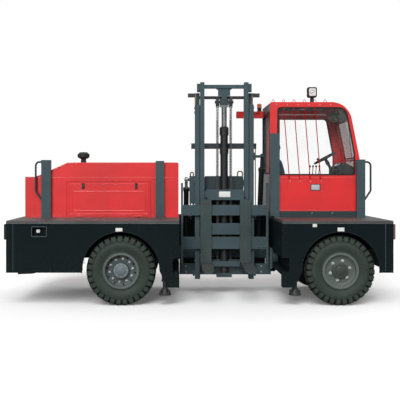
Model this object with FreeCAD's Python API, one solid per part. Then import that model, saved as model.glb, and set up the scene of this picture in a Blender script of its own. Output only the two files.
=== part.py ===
"""Side-loading fork truck with a flat deck, a reaching mast in a central well, and a cab beside the deck.

Frame: +X is the driving direction, -Y is the side that is loaded, +Z is up. The origin is on the ground,
in the middle of the overall box. Sizes are in millimetres.
"""
import FreeCAD
import Part
import math
import os

V = FreeCAD.Vector

# Clearances
RUNNING = 0.05
SEAT = 0.3
MOVING_GAP = 6.0

# Chassis
HALF_LENGTH = 2760.0
HALF_WIDTH = 1150.0
DECK_TOP = 1216.0
DECK_THICK = 40.0
SEAM_WIDTH = 4.0
SEAM_DEPTH = 3.0
FRAME_BOTTOM = 475.0
PLATE = 16.0
WELL_REAR = -291.0
WELL_FRONT = 1180.0
PLATFORM_DEPTH = 1100.0
CROSS_BEAM = 140.0
BEAM_BOTTOM = 430.0
LEG_BOTTOM = 263.0
LEG_DEPTH = 150.0
LEG_FOOT = 172.0
LEG_SHOULDER = 309.0
LEG_SHOULDER_Z = 558.0
RAIL_WIDTH = 80.0
RAIL_BOTTOM = 760.0
SPINE_DEPTH = 350.0
SPINE_BOTTOM = 500.0
STEP_TOP = 820.0
STEP_DEPTH = 140.0
END_LAMP_DEPTH = 35.0

NEAR = -HALF_WIDTH
PLATFORM_BACK = NEAR + PLATFORM_DEPTH
DECK_BOTTOM = DECK_TOP - DECK_THICK
SPINE_FRONT = HALF_WIDTH - SPINE_DEPTH

# Wheels and axles
WHEEL_RADIUS = 500.0
TYRE_WIDTH = 250.0
TYRE_INSET = 10.0
RIM_RADIUS = 250.0
RIM_LIP = 12.0
RIM_WALL = 14.0
ARCH_GAP = 50.0
REAR_AXLE_X = -1125.0
FRONT_AXLE_X = 2010.0
KINGPIN_GAP = 50.0
KINGPIN_RADIUS = 25.0
KNUCKLE_REACH = 115.0
SPINDLE_RADIUS = 45.0
SPINDLE_INSET = 40.0
AXLE_TUBE = 75.0
AXLE_BEAM = 60.0
BRAKE_DRUM = 190.0
HUB_RADIUS = 122.0

TYRE_OUTER = HALF_WIDTH - TYRE_INSET
TYRE_INNER = TYRE_OUTER - TYRE_WIDTH
KINGPIN_Y = TYRE_INNER - KINGPIN_GAP
RAIL_INNER = KINGPIN_Y - 320.0

# Guide channel of the mast trolley, cut in the two well walls
GUIDE_BOTTOM = 480.0
GUIDE_TOP = 690.0
GUIDE_DEPTH = 98.0

# Mast
MAST_X = 420.5
CHANNEL_FRONT = PLATFORM_BACK + 130.0
CHANNEL_DEPTH = 150.0
CHANNEL_WALL = 20.0
OUTER_HALF = 462.5
OUTER_WIDTH = 78.0
OUTER_BOTTOM = 240.0
OUTER_TOP = 2979.0
INNER_WIDTH = 66.0
INNER_BOTTOM = 440.0
INNER_TOP = 3332.0
HEAD_BEAM = (3240.0, 3294.0)
HEAD_BLOCK = (3186.0, 3310.0)
PIVOT_Z = 330.0
PIVOT_RADIUS = 30.0
TIE_DEPTH = 38.0
FOOT_BOTTOM = 266.0
FOOT_TOP = 330.0
LOWER_TIE = (296.0, 533.0)
BACK_PLATE = (1645.0, 1858.0)
MIDDLE_TIE = (2291.0, 2379.0)
TOP_TIE = (3084.0, 3130.0)
TOP_ARM = (3112.0, 3174.0)

CHANNEL_REAR = CHANNEL_FRONT + CHANNEL_DEPTH
INNER_HALF = OUTER_HALF - OUTER_WIDTH - MOVING_GAP
ROLLER_RADIUS = CHANNEL_DEPTH / 2 - CHANNEL_WALL - SEAT
ROLLER_Y = CHANNEL_FRONT + CHANNEL_DEPTH / 2
PIVOT_Y = ROLLER_Y
TIE_Y = CHANNEL_REAR + 36.0

# Lift cylinder and chains
BARREL_RADIUS = 60.5
BARREL_TOP = 2635.0
COLLAR_RADIUS = 70.0
COLLAR = (2205.0, 2290.0)
HEAD_RADIUS = 72.0
HEAD_HEIGHT = 134.0
ROD_RADIUS = 42.0
ROD_BOTTOM = 685.0
ROD_TOP = 2947.0
SHEAVE_Z = 3026.0
SHEAVE_RADIUS = 82.0
SHEAVE_WIDTH = 50.0
SHAFT_RADIUS = 20.0
CROSSHEAD_TOP = 3080.0
CHAIN_OFFSET = 105.0
CHAIN_WIDTH = 34.0
CHAIN_THICK = 12.0
LIFT_Y = CHANNEL_REAR - BARREL_RADIUS - 0.5

# Trolley
TROLLEY_FRONT = PLATFORM_BACK + 140.0
TROLLEY_REAR = TROLLEY_FRONT + 670.0
TROLLEY_PLATE = 40.0
TROLLEY_TOP = 720.0
TROLLEY_PLATE_BOTTOM = 400.0
TROLLEY_BOTTOM = 290.0
FRONT_BEAM_TOP = 460.0
FRONT_BEAM_Y = CHANNEL_REAR + 70.0
BEAM_DEPTH = 70.0
REAR_BEAM_BOTTOM = 520.0

# Fork carriage
CARRIAGE_FRONT = CHANNEL_FRONT - 60.0
CARRIAGE_THICK = 40.0
CARRIAGE_REAR = CARRIAGE_FRONT + CARRIAGE_THICK
CARRIAGE_HALF = (WELL_FRONT - WELL_REAR) / 2 - 53.0
END_BAR = 32.0
END_BAR_BOTTOM = 470.0
END_BAR_TOP = 1749.0
UPPER_BAR = (1242.0, 1405.0)
MIDDLE_BAR = (944.0, 1118.0)
LOWER_BAR = (719.0, 906.0)
TOP_PLATE_TOP = 1647.0
FORK_WIDTH = 165.0
FORK_THICK = 60.0
FORK_LENGTH = 1100.0
FORK_BOTTOM = 462.0
FORK_TOP = 1483.0
FORK_TAPER = 420.0
FORK_OFFSETS = (-292.0, 320.0)
ROLLER_PLATE = 30.0
ROLLER_PLATE_OFFSET = INNER_HALF - 78.0

# Tilt cylinders: both slope alike, and the one on the cab's side is longer
TILT_OFFSET = OUTER_HALF + 133.5
TILT_BASE_Y = TROLLEY_REAR - 60.0
TILT_BASE_Z = 770.0
TILT_EYE_Y = CHANNEL_REAR + 70.0
TILT_EYE_Z = 1800.0
TILT_LONG = 1500.0
TILT_BARREL = 42.0
TILT_ROD = 25.0
TILT_PIN = 22.0
TILT_EYE = 44.0
TILT_LUG = 29.0
TILT_BASE = V(0, TILT_BASE_Y, TILT_BASE_Z)
TILT_ALONG = (V(0, TILT_EYE_Y, TILT_EYE_Z) - TILT_BASE).normalize()
TILT_SHORT = TILT_BASE.distanceToPoint(V(0, TILT_EYE_Y, TILT_EYE_Z))

# Reach cylinder
REACH_CYL_Z = 400.0
REACH_BARREL = 55.0
REACH_STAGE = 45.0
REACH_ROD = 30.0
REACH_BARREL_FRONT = FRONT_BEAM_Y + BEAM_DEPTH + 50.0
REACH_BARREL_REAR = HALF_WIDTH - 90.0

# Stabilisers
STABILISER_X = (WELL_REAR - 206.0, WELL_FRONT + 187.0)
STABILISER_INSET = 100.0
STABILISER_BARREL = 45.0
STABILISER_ROD = 32.0
STABILISER_TOP = 1000.0
PAD_RADIUS = 87.5
PAD_BOTTOM = 145.0
PAD_THICK = 22.0

# Engine cover and its door
COVER_REAR = -HALF_LENGTH + 76.0
COVER_FRONT = WELL_REAR - 9.0
COVER_FAR = HALF_WIDTH - 20.0
COVER_LOW_TOP = DECK_TOP + 629.0
COVER_TOP = DECK_TOP + 851.0
COVER_STEP_X = COVER_REAR + 165.0
COVER_SLOPE_X = COVER_REAR + 662.0
COVER_WALL = 40.0
DOOR_REAR = COVER_REAR + 645.0
DOOR_FRONT = COVER_FRONT - 428.0
DOOR_BOTTOM = DECK_TOP + 16.0
DOOR_TOP = DOOR_BOTTOM + 540.0
DOOR_GAP = 5.0
GRILLE_Y = (PLATFORM_BACK + 200.0, COVER_FAR - 180.0)
GRILLE_Z = (DECK_TOP + 104.0, COVER_LOW_TOP - 85.0)
GRILLE_RIM = 30.0
GRILLE_SLATS = 9

# Cab
CAB_REAR = WELL_FRONT - 58.0
CAB_NOSE = HALF_LENGTH - 244.0
CAB_TOP = 3008.0
CAB_FAR = HALF_WIDTH - 20.0
CAB_BASE_TOP = DECK_TOP + 96.0
CAB_WALL = 45.0
CAB_ROOF_CORNER = CAB_NOSE - 174.0
CAB_ROOF_RADIUS = 320.0
CAB_SILL_Z = CAB_BASE_TOP + 816.0
WINDOW_SILL = CAB_BASE_TOP + 567.0
WINDOW_TOP = CAB_TOP - 89.0
PILLAR_WIDTH = 90.0
GLASS = 6.0
PANE_DEPTH = 18.0
CAB_DOOR_REAR = CAB_REAR + 208.0
CAB_DOOR_FRONT = CAB_NOSE - 116.0
SEAT_X = CAB_REAR + 298.0
SEAT_Y = (PLATFORM_BACK + CAB_FAR) / 2
SEAT_BASE_TOP = CAB_BASE_TOP + 378.0
SEAT_HALF = 240.0
DASH_FACE = CAB_NOSE - 286.0
LAMP_BEAM_X = CAB_REAR - 449.0
LAMP_BEAM_Y = (CAB_FAR - 230.0, CAB_FAR - 130.0)
LAMP_BEAM_Z = (CAB_TOP - 182.0, CAB_TOP - 70.0)

# Deck posts: low X, high X, top
POSTS = ((COVER_REAR + 261.0, COVER_REAR + 409.0, COVER_TOP + 33.0),
         (COVER_FRONT - 354.0, COVER_FRONT - 223.0, COVER_TOP + 19.0),
         (CAB_REAR, CAB_REAR + 140.0, DECK_TOP + 1295.0),
         (CAB_NOSE - 62.0, CAB_NOSE + 70.0, DECK_TOP + 892.0))
POST_FRONT = PLATFORM_BACK - 80.0
POST_REAR = PLATFORM_BACK - 10.0
POST_FOOT = 30.0

# Hinges
HINGE_PIN = 5.0
HINGE_RADIUS = 9.0
HINGE_GAP = 1.0
HINGE_LENGTH = 120.0
HINGE_PLAY = 0.5


def box(x, y, z):
    """Block between the low and high values of each axis, in either order."""
    low = V(min(x), min(y), min(z))
    high = V(max(x), max(y), max(z))
    return Part.makeBox(high.x - low.x, high.y - low.y, high.z - low.z, low)


def rod(start, end, radius):
    """Round bar from one point to another."""
    start = V(*start)
    along = V(*end) - start
    return Part.makeCylinder(radius, along.Length, start, along)


def pipe(start, end, radius, bore):
    """Round tube from one point to another."""
    return rod(start, end, radius).cut(rod(start, end, bore))


def fuse(shapes):
    """One shape from several that touch or overlap."""
    shapes = list(shapes)
    return shapes[0].multiFuse(shapes[1:]).removeSplitter()


def around(centre, half):
    """Low and high value about a middle value."""
    return centre - half, centre + half


def both_sides(shape):
    """The shape and its mirror image across the middle plane of the truck."""
    return [shape, shape.mirror(V(0, 0, 0), V(0, 1, 0))]


def mast_pair(shape):
    """The shape and its mirror image across the middle plane of the mast."""
    return [shape, shape.mirror(V(MAST_X, 0, 0), V(1, 0, 0))]


def polygon(points):
    """Flat face from corner points in space."""
    corners = [V(*p) for p in points]
    return Part.Face(Part.makePolygon(corners + corners[:1]))


def slab_y(points, y0, y1):
    """Corners in X and Z, drawn out along Y."""
    return polygon([(x, y0, z) for x, z in points]).extrude(V(0, y1 - y0, 0))


def slab_x(points, x0, x1):
    """Corners in Y and Z, drawn out along X."""
    return polygon([(x0, y, z) for y, z in points]).extrude(V(x1 - x0, 0, 0))


def bend(before, corner, after, radius):
    """The two tangent points and the middle point of the arc that rounds a corner."""
    back = (before - corner).normalize()
    ahead = (after - corner).normalize()
    half = back.getAngle(ahead) / 2
    reach = radius / math.tan(half)
    middle = (back + ahead).normalize() * (radius / math.sin(half) - radius)
    return corner + back * reach, corner + middle, corner + ahead * reach


def rounded_slab_y(points, radii, y0, y1):
    """Corners in X and Z with a radius at each (0 is sharp), drawn out along Y."""
    corners = [V(x, y0, z) for x, z in points]
    count = len(corners)
    edges = []
    ends = []
    for i in range(count):
        if radii[i] > 0:
            first, middle, last = bend(corners[i - 1], corners[i], corners[(i + 1) % count], radii[i])
            edges.append(Part.Arc(first, middle, last).toShape())
        else:
            first = last = corners[i]
        ends.append((first, last))
    for i in range(count):
        edges.append(Part.makeLine(ends[i - 1][1], ends[i][0]))
    face = Part.Face(Part.Wire(Part.sortEdges(edges)[0]))
    return face.extrude(V(0, y1 - y0, 0))


def inset(points, amount):
    """Corners of an outline moved in by a distance; the outline runs clockwise seen along +Y."""
    moved = []
    for i in range(len(points)):
        lines = []
        for a, b in ((points[i - 1], points[i]), (points[i], points[(i + 1) % len(points)])):
            length = math.hypot(b[0] - a[0], b[1] - a[1])
            normal = ((b[1] - a[1]) / length, -(b[0] - a[0]) / length)
            lines.append((normal, normal[0] * a[0] + normal[1] * a[1] + amount))
        (n1, d1), (n2, d2) = lines
        det = n1[0] * n2[1] - n1[1] * n2[0]
        moved.append(((d1 * n2[1] - d2 * n1[1]) / det, (n1[0] * d2 - n2[0] * d1) / det))
    return moved


def shrink(outline, amount):
    """An outline with its radii, moved in by a distance."""
    points, radii = outline
    return inset(points, amount), [max(r - amount, 0.0) for r in radii]


def tube_along(points, radius, bend_radius):
    """Round bar along straight runs joined by tangent arcs."""
    corners = [V(*p) for p in points]
    edges = []
    start = corners[0]
    for i in range(1, len(corners) - 1):
        first, middle, last = bend(corners[i - 1], corners[i], corners[i + 1], bend_radius)
        edges.append(Part.makeLine(start, first))
        edges.append(Part.Arc(first, middle, last).toShape())
        start = last
    edges.append(Part.makeLine(start, corners[-1]))
    circle = Part.Wire(Part.makeCircle(radius, corners[0], corners[1] - corners[0]))
    return Part.Wire(edges).makePipeShell([circle], True, False)


def hinge(centre, axis):
    """A pin with two end knuckles for the fixed side, and the middle knuckle for the moving side."""
    centre = V(*centre)
    axis = V(*axis)
    end = HINGE_LENGTH / 2
    third = HINGE_LENGTH / 6

    def at(distance):
        return tuple(centre + axis * distance)

    pin = rod(at(-end), at(end), HINGE_PIN)
    low = rod(at(-end), at(-third - HINGE_PLAY), HINGE_RADIUS)
    high = rod(at(third + HINGE_PLAY), at(end), HINGE_RADIUS)
    middle = pipe(at(-third), at(third), HINGE_RADIUS, HINGE_PIN + RUNNING)
    return fuse([pin, low, high]), middle


def save(name, shape):
    """Write one node."""
    shape.exportStep("parts/" + name + ".step")
    print(name, len(shape.Solids), shape.isValid())


# ---------------------------------------------------------------- chassis

def end_frame(end_x, well_x, axle_x, sign):
    """Front or rear half of the chassis: side plates with arches, an end plate, rails and a guide beam.

    sign is the way from the well to the end of the truck.
    """
    outline = [
        (end_x, FRAME_BOTTOM), (end_x, DECK_BOTTOM), (well_x, DECK_BOTTOM), (well_x, LEG_BOTTOM),
        (well_x + sign * LEG_FOOT, LEG_BOTTOM), (well_x + sign * LEG_SHOULDER, LEG_SHOULDER_Z),
        (axle_x, LEG_SHOULDER_Z), (axle_x, FRAME_BOTTOM)]
    side = slab_y(outline, NEAR, NEAR + PLATE)
    arch = rod((axle_x, NEAR - 1, WHEEL_RADIUS), (axle_x, NEAR + PLATE + 1, WHEEL_RADIUS),
               WHEEL_RADIUS + ARCH_GAP)
    inner_y = (NEAR + PLATE, -NEAR - PLATE)
    inner_end = end_x - sign * PLATE
    end = box((end_x, inner_end), inner_y, (FRAME_BOTTOM, DECK_BOTTOM))
    beam_x = well_x + sign * CROSS_BEAM
    beam = box((well_x, beam_x), inner_y, (BEAM_BOTTOM, DECK_BOTTOM))
    leg = box((well_x, beam_x), (NEAR + PLATE, NEAR + PLATE + LEG_DEPTH), (LEG_BOTTOM, BEAM_BOTTOM))
    guide = box((well_x, well_x + sign * GUIDE_DEPTH), (NEAR - 1, HALF_WIDTH + 1), (GUIDE_BOTTOM, GUIDE_TOP))
    rail = box((beam_x, inner_end), (RAIL_INNER, RAIL_INNER + RAIL_WIDTH), (RAIL_BOTTOM, DECK_BOTTOM))
    return fuse(both_sides(side.cut(arch)) + both_sides(leg) + [end, beam] + both_sides(rail)).cut(guide)


def rear_frame():
    """Rear half of the chassis, with a recess and its small lamp on the loading side."""
    low_x = -HALF_LENGTH + 366.0
    high_x = -HALF_LENGTH + 575.0
    low_z = DECK_TOP - 225.0
    high_z = DECK_TOP - 86.0
    wall = 6.0
    inside = NEAR + PLATE
    back = inside + 60.0
    hole = box((low_x, high_x), (NEAR - 1, back), (low_z, high_z))
    tray = box((low_x - wall, high_x + wall), (inside, back + wall), (low_z - wall, high_z + wall))
    frame = end_frame(-HALF_LENGTH, WELL_REAR, REAR_AXLE_X, -1)
    save("rear_frame", fuse([frame, tray]).cut(hole))
    lamp_x = high_x - 55.0
    lamp_z = (low_z + high_z) / 2
    save("side_lamp", rod((lamp_x, back, lamp_z), (lamp_x, back - 40.0, lamp_z), 32.0))


def front_frame():
    """Front half of the chassis, with a toe hole and a tread on the far side below the cab door."""
    beam_x = WELL_FRONT + CROSS_BEAM
    step_end = beam_x + 190.0
    inside = HALF_WIDTH - PLATE
    hole = box((beam_x + 10.0, step_end), (inside - 1, HALF_WIDTH + 1), (STEP_TOP, STEP_TOP + 180.0))
    save("front_frame", end_frame(HALF_LENGTH, WELL_FRONT, FRONT_AXLE_X, 1).cut(hole))
    save("cab_step", box((beam_x, step_end), (inside - STEP_DEPTH, inside), (STEP_TOP - PLATE, STEP_TOP)))


def spine_frame():
    """Box beam that joins the two frames behind the mast."""
    save("spine_frame", box((WELL_REAR, WELL_FRONT), (SPINE_FRONT, HALF_WIDTH), (SPINE_BOTTOM, DECK_TOP)))


def decks():
    """Deck plates, each with a shallow seam between the load platform and the floor behind it."""
    seam_y = POST_FRONT - 2 * SEAM_WIDTH
    for name, x in (("rear_deck", (-HALF_LENGTH, WELL_REAR)), ("front_deck", (WELL_FRONT, HALF_LENGTH))):
        plate = box(x, (NEAR, HALF_WIDTH), (DECK_BOTTOM, DECK_TOP))
        seam = box((x[0] - 1, x[1] + 1), (seam_y - SEAM_WIDTH, seam_y), (DECK_TOP - SEAM_DEPTH, DECK_TOP + 1))
        save(name, plate.cut(seam))


def deck_posts():
    """Upright load stops that stand between the load and the covers."""
    posts = []
    post_y = (POST_FRONT, POST_REAR)
    for low, high, top in POSTS:
        foot = low if low < 0 else max(low, WELL_FRONT)
        upright = box((low, high), post_y, (DECK_TOP + POST_FOOT, top))
        posts.append(fuse([upright, box((foot, high), post_y, (DECK_TOP, DECK_TOP + POST_FOOT + 1))]))
    save("deck_posts", Part.makeCompound(posts))


def grab_handles():
    """Bent tubes on the outer edges of the end posts."""
    stand_off = 89.0
    low_z = DECK_TOP + 278.0
    knee_z = DECK_TOP + 413.0
    top_z = DECK_TOP + 859.0
    tube_radius = 15.0
    bend_radius = 60.0
    middle_y = (POST_FRONT + POST_REAR) / 2
    tubes = []
    for edge, sign in ((POSTS[0][0], -1), (POSTS[3][1], 1)):
        out = edge + sign * stand_off
        path = [(edge, middle_y, low_z), (out, middle_y, knee_z), (out, middle_y, top_z), (edge, middle_y, top_z)]
        inside = box((edge, edge - sign * bend_radius), (POST_FRONT, POST_REAR), (low_z - 60.0, top_z + 60.0))
        tubes.append(tube_along(path, tube_radius, bend_radius).cut(inside))
    save("grab_handles", Part.makeCompound(tubes))


def end_lamps():
    """Combination lamps on the four corners."""
    lamps = []
    lamp_y = (NEAR + 40.0, NEAR + 150.0)
    lamp_z = (DECK_TOP - 271.0, DECK_TOP - 51.0)
    for sign in (-1, 1):
        end = sign * HALF_LENGTH
        lamps += both_sides(box((end, end + sign * END_LAMP_DEPTH), lamp_y, lamp_z))
    save("end_lamps", Part.makeCompound(lamps))


# ---------------------------------------------------------------- axles and wheels

def across(x, y0, y1, radius):
    """Round bar along Y at the height of the wheel centres."""
    return rod((x, y0, WHEEL_RADIUS), (x, y1, WHEEL_RADIUS), radius)


def spring_pad(x, half):
    """Block between an axle and the rail above it."""
    return box(around(x, half), (RAIL_INNER, RAIL_INNER + RAIL_WIDTH), (WHEEL_RADIUS, RAIL_BOTTOM))


def rear_axle():
    """Driven axle: tube, differential case, spring pads, drums and spindles."""
    drum_y = TYRE_INNER - 20.0
    tube = across(REAR_AXLE_X, -drum_y, drum_y, AXLE_TUBE)
    case = Part.makeSphere(190.0, V(REAR_AXLE_X, 0, WHEEL_RADIUS))
    nose = rod((REAR_AXLE_X, 0, WHEEL_RADIUS), (REAR_AXLE_X - 330.0, 0, WHEEL_RADIUS + 40.0), 80.0)
    pads = both_sides(spring_pad(REAR_AXLE_X, 110.0))
    drums = both_sides(across(REAR_AXLE_X, drum_y - 70.0, drum_y, BRAKE_DRUM))
    spindles = both_sides(across(REAR_AXLE_X, drum_y, TYRE_OUTER - SPINDLE_INSET, SPINDLE_RADIUS))
    save("rear_axle", fuse([tube, case, nose] + pads + drums + spindles))


def front_axle():
    """Dead beam with an eye for the kingpin at each end."""
    beam = box(around(FRONT_AXLE_X, AXLE_BEAM), (-KINGPIN_Y, KINGPIN_Y), around(WHEEL_RADIUS, AXLE_BEAM))
    low = (FRONT_AXLE_X, KINGPIN_Y, WHEEL_RADIUS - 70.0)
    high = (FRONT_AXLE_X, KINGPIN_Y, WHEEL_RADIUS + 70.0)
    eyes = both_sides(rod(low, high, AXLE_BEAM))
    body = fuse([beam] + both_sides(spring_pad(FRONT_AXLE_X, AXLE_BEAM)) + eyes)
    for hole in both_sides(rod(low, high, KINGPIN_RADIUS + RUNNING)):
        body = body.cut(hole)
    save("front_axle", body)


def knuckle(side):
    """Steering knuckle: kingpin, two lugs, back plate, spindle and steering arm. side is -1 or 1."""
    y = side * KINGPIN_Y
    plate_y = side * (KINGPIN_Y + 64.0)
    plate_out = plate_y + side * 26.0
    lug_half = 50.0
    low = WHEEL_RADIUS - KNUCKLE_REACH
    high = WHEEL_RADIUS + KNUCKLE_REACH
    shapes = [rod((FRONT_AXLE_X, y, low), (FRONT_AXLE_X, y, high), KINGPIN_RADIUS),
              box(around(FRONT_AXLE_X, AXLE_BEAM), (plate_y, plate_out), (low, high)),
              across(FRONT_AXLE_X, plate_out, side * (TYRE_OUTER - SPINDLE_INSET), SPINDLE_RADIUS),
              box((FRONT_AXLE_X - 230.0, FRONT_AXLE_X), around(y, 25.0), (low, low + 30.0))]
    for z in ((low, low + 40.0), (high - 40.0, high)):
        shapes.append(rod((FRONT_AXLE_X, y, z[0]), (FRONT_AXLE_X, y, z[1]), lug_half))
        shapes.append(box(around(FRONT_AXLE_X, lug_half), (y, plate_out), z))
    return fuse(shapes)


def turned(x, side, outline):
    """A ring turned about an axle from an outline of (outward distance, radius) about the tyre's middle."""
    middle_y = side * (TYRE_OUTER - TYRE_WIDTH / 2)
    face = polygon([(x, middle_y + side * a, WHEEL_RADIUS + r) for a, r in outline])
    return face.revolve(V(x, middle_y, WHEEL_RADIUS), V(0, 1, 0), 360)


def tyre(x, side):
    """Heavy tyre: a ring with a crowned tread and rounded sidewalls."""
    half = TYRE_WIDTH / 2
    bead = half - 20.0
    shoulder = half - 22.0
    crown = shoulder - 45.0
    wall = [(bead, RIM_RADIUS), (half, RIM_RADIUS + 90.0), (half - 6.0, WHEEL_RADIUS - 60.0),
            (shoulder, WHEEL_RADIUS - 12.0), (crown, WHEEL_RADIUS)]
    return turned(x, side, [(-a, r) for a, r in wall] + wall[::-1])


def rim(x, side, dish, hub_out):
    """Rim barrel with lips, a disc set in from the outer face, and a hub with its spindle bore."""
    half = TYRE_WIDTH / 2 - 1.0
    seat = RIM_RADIUS - SEAT
    lip = seat + RIM_LIP
    bore = SPINDLE_RADIUS + RUNNING
    disc = half - dish
    disc_edge = HUB_RADIUS + 60.0
    outline = [(-half, seat - RIM_WALL), (-half, lip), (-half + RIM_WALL, lip), (-half + RIM_WALL, seat),
               (half - RIM_WALL, seat), (half - RIM_WALL, lip), (half, lip), (half, seat - RIM_WALL),
               (disc + 14.0, seat - 2 * RIM_WALL), (disc, disc_edge), (disc, HUB_RADIUS),
               (half + hub_out, HUB_RADIUS - 14.0), (half + hub_out, bore), (disc - 60.0, bore),
               (disc - 60.0, HUB_RADIUS), (disc - 18.0, HUB_RADIUS), (disc - 18.0, disc_edge),
               (disc - 4.0, seat - RIM_WALL)]
    return turned(x, side, outline)


def wheels():
    """Tyre and rim of each wheel, and the knuckles of the front ones."""
    for name, side in (("right", -1), ("left", 1)):
        save("rear_tyre_" + name, tyre(REAR_AXLE_X, side))
        save("rear_rim_" + name, rim(REAR_AXLE_X, side, 95.0, -30.0))
        save("front_tyre_" + name, tyre(FRONT_AXLE_X, side))
        save("front_rim_" + name, rim(FRONT_AXLE_X, side, 60.0, -20.0))
        save("knuckle_" + name, knuckle(side))


# ---------------------------------------------------------------- engine cover

def cover_outline():
    """Side view of the engine cover, clockwise from its rear foot."""
    return [(COVER_REAR, DECK_TOP), (COVER_REAR, COVER_LOW_TOP), (COVER_STEP_X, COVER_LOW_TOP),
            (COVER_SLOPE_X, COVER_TOP), (COVER_FRONT, COVER_TOP), (COVER_FRONT, DECK_TOP)]


def engine_cover():
    """Hollow cover with its doorway and air opening, and the door that fills the doorway."""
    outside = rounded_slab_y(cover_outline(), [0.0, 12.0, 0.0, 60.0, 24.0, 0.0], PLATFORM_BACK, COVER_FAR)
    inner = inset(cover_outline(), COVER_WALL)
    inner[0] = (inner[0][0], DECK_TOP - 1)
    inner[-1] = (inner[-1][0], DECK_TOP - 1)
    cavity = slab_y(inner, PLATFORM_BACK + COVER_WALL, COVER_FAR - COVER_WALL)
    doorway = box((DOOR_REAR, DOOR_FRONT), (PLATFORM_BACK - 1, PLATFORM_BACK + COVER_WALL + 1),
                  (DOOR_BOTTOM, DOOR_TOP))
    air = box((COVER_REAR - 1, COVER_REAR + COVER_WALL + 1), GRILLE_Y, GRILLE_Z)
    fixed, moving = door_hinges()
    save("engine_cover", fuse([outside.cut(cavity).cut(doorway).cut(air)] + fixed))
    panel = box((DOOR_REAR + DOOR_GAP, DOOR_FRONT - DOOR_GAP), (PLATFORM_BACK, PLATFORM_BACK + COVER_WALL),
                (DOOR_BOTTOM + DOOR_GAP, DOOR_TOP - DOOR_GAP))
    save("engine_door", fuse([panel] + moving))


def door_hinges():
    """Hinges along the foot of the engine door: fixed halves and moving halves."""
    y = PLATFORM_BACK - HINGE_RADIUS - HINGE_GAP
    z = DOOR_BOTTOM
    third = HINGE_LENGTH / 6
    leaf_y = (y, PLATFORM_BACK)
    fixed = []
    moving = []
    for x in (DOOR_REAR + 200.0, DOOR_FRONT - 200.0):
        pin, middle = hinge((x, y, z), (1, 0, 0))
        fixed.append(pin)
        for sign in (-1, 1):
            ends = (x + sign * HINGE_LENGTH / 2, x + sign * (third + HINGE_PLAY))
            fixed.append(box(ends, leaf_y, (z - HINGE_RADIUS, z - 2.0)))
        leaf = box(around(x, third), leaf_y, (z + DOOR_GAP, z + HINGE_RADIUS + 20.0))
        bore = rod((x - third, y, z), (x + third, y, z), HINGE_PIN + RUNNING)
        moving.append(fuse([middle, leaf]).cut(bore))
    return fixed, moving


def door_latches():
    """Two lever latches near the top edge of the engine door."""
    body_thick = 12.0
    lever_y = PLATFORM_BACK - body_thick
    latches = []
    for x in (DOOR_REAR + 257.5, DOOR_FRONT - 229.5):
        body = box(around(x, 19.5), (lever_y, PLATFORM_BACK), (DOOR_TOP - 116.0, DOOR_TOP - 23.0))
        lever = box(around(x, 12.0), (lever_y - body_thick, lever_y), (DOOR_TOP - 104.0, DOOR_TOP - 47.0))
        latches.append(fuse([body, lever]))
    save("door_latches", Part.makeCompound(latches))


def rear_grille():
    """Framed set of slats in the rear end of the cover."""
    slat_y = (GRILLE_Y[0] + GRILLE_RIM, GRILLE_Y[1] - GRILLE_RIM)
    slat_z = (GRILLE_Z[0] + GRILLE_RIM, GRILLE_Z[1] - GRILLE_RIM)
    outer = box((COVER_REAR, COVER_REAR + COVER_WALL), GRILLE_Y, GRILLE_Z)
    parts = [outer.cut(box((COVER_REAR - 1, COVER_REAR + COVER_WALL + 1), slat_y, slat_z))]
    pitch = (slat_z[1] - slat_z[0]) / GRILLE_SLATS
    for i in range(GRILLE_SLATS):
        z = slat_z[0] + (i + 0.5) * pitch
        blade = [(COVER_REAR + 4.0, z - 12.0), (COVER_REAR + 8.0, z - 15.0), (COVER_REAR + 36.0, z + 9.0),
                 (COVER_REAR + 32.0, z + 12.0)]
        parts.append(slab_y(blade, *slat_y))
    save("rear_grille", fuse(parts))


def engine():
    """Engine as one plain block on the deck, and the air cleaner that stands on the cover."""
    save("engine_block", box((COVER_REAR + 644.0, COVER_REAR + 1594.0),
                             (PLATFORM_BACK + 260.0, COVER_FAR - 260.0), (DECK_TOP, COVER_TOP - 167.0)))
    x = COVER_SLOPE_X + 192.0
    y = PLATFORM_BACK + 480.0
    radius = 95.0
    neck_top = COVER_TOP + 70.0
    bowl_top = neck_top + 26.0
    body_top = bowl_top + 44.0
    neck = rod((x, y, COVER_TOP), (x, y, neck_top), 42.0)
    bowl = Part.makeCone(60.0, radius, bowl_top - neck_top, V(x, y, neck_top))
    body = rod((x, y, bowl_top), (x, y, body_top), radius)
    cap = Part.makeCone(radius, 62.0, 33.0, V(x, y, body_top))
    save("air_precleaner", fuse([neck, bowl, body, cap]))


# ---------------------------------------------------------------- cab

def cab_outline():
    """Side view of the cab shell, clockwise from its rear foot, with corner radii."""
    points = [(CAB_REAR, CAB_BASE_TOP), (CAB_REAR, CAB_TOP), (CAB_ROOF_CORNER, CAB_TOP), (CAB_NOSE, CAB_SILL_Z),
              (CAB_NOSE, CAB_BASE_TOP)]
    return points, [0.0, 30.0, CAB_ROOF_RADIUS, 0.0, 0.0]


def side_window():
    """Outline of the window on the loading side, clockwise, with corner radii."""
    rear = CAB_REAR + 124.0
    front = CAB_NOSE - 82.0
    points = [(rear, WINDOW_SILL), (rear, WINDOW_TOP), (CAB_NOSE - 216.0, WINDOW_TOP), (front, CAB_SILL_Z + 80.0),
              (front, WINDOW_SILL)]
    return points, [25.0, 50.0, 150.0, 60.0, 25.0]


def cab_doorway():
    """Outline of the doorway on the far side, clockwise, with corner radii."""
    sill = CAB_BASE_TOP + 20.0
    top = WINDOW_TOP - 20.0
    points = [(CAB_DOOR_REAR, sill), (CAB_DOOR_REAR, top), (CAB_DOOR_FRONT - 120.0, top),
              (CAB_DOOR_FRONT, CAB_SILL_Z + 80.0), (CAB_DOOR_FRONT, sill)]
    return points, [0.0, 40.0, 140.0, 60.0, 0.0]


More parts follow.
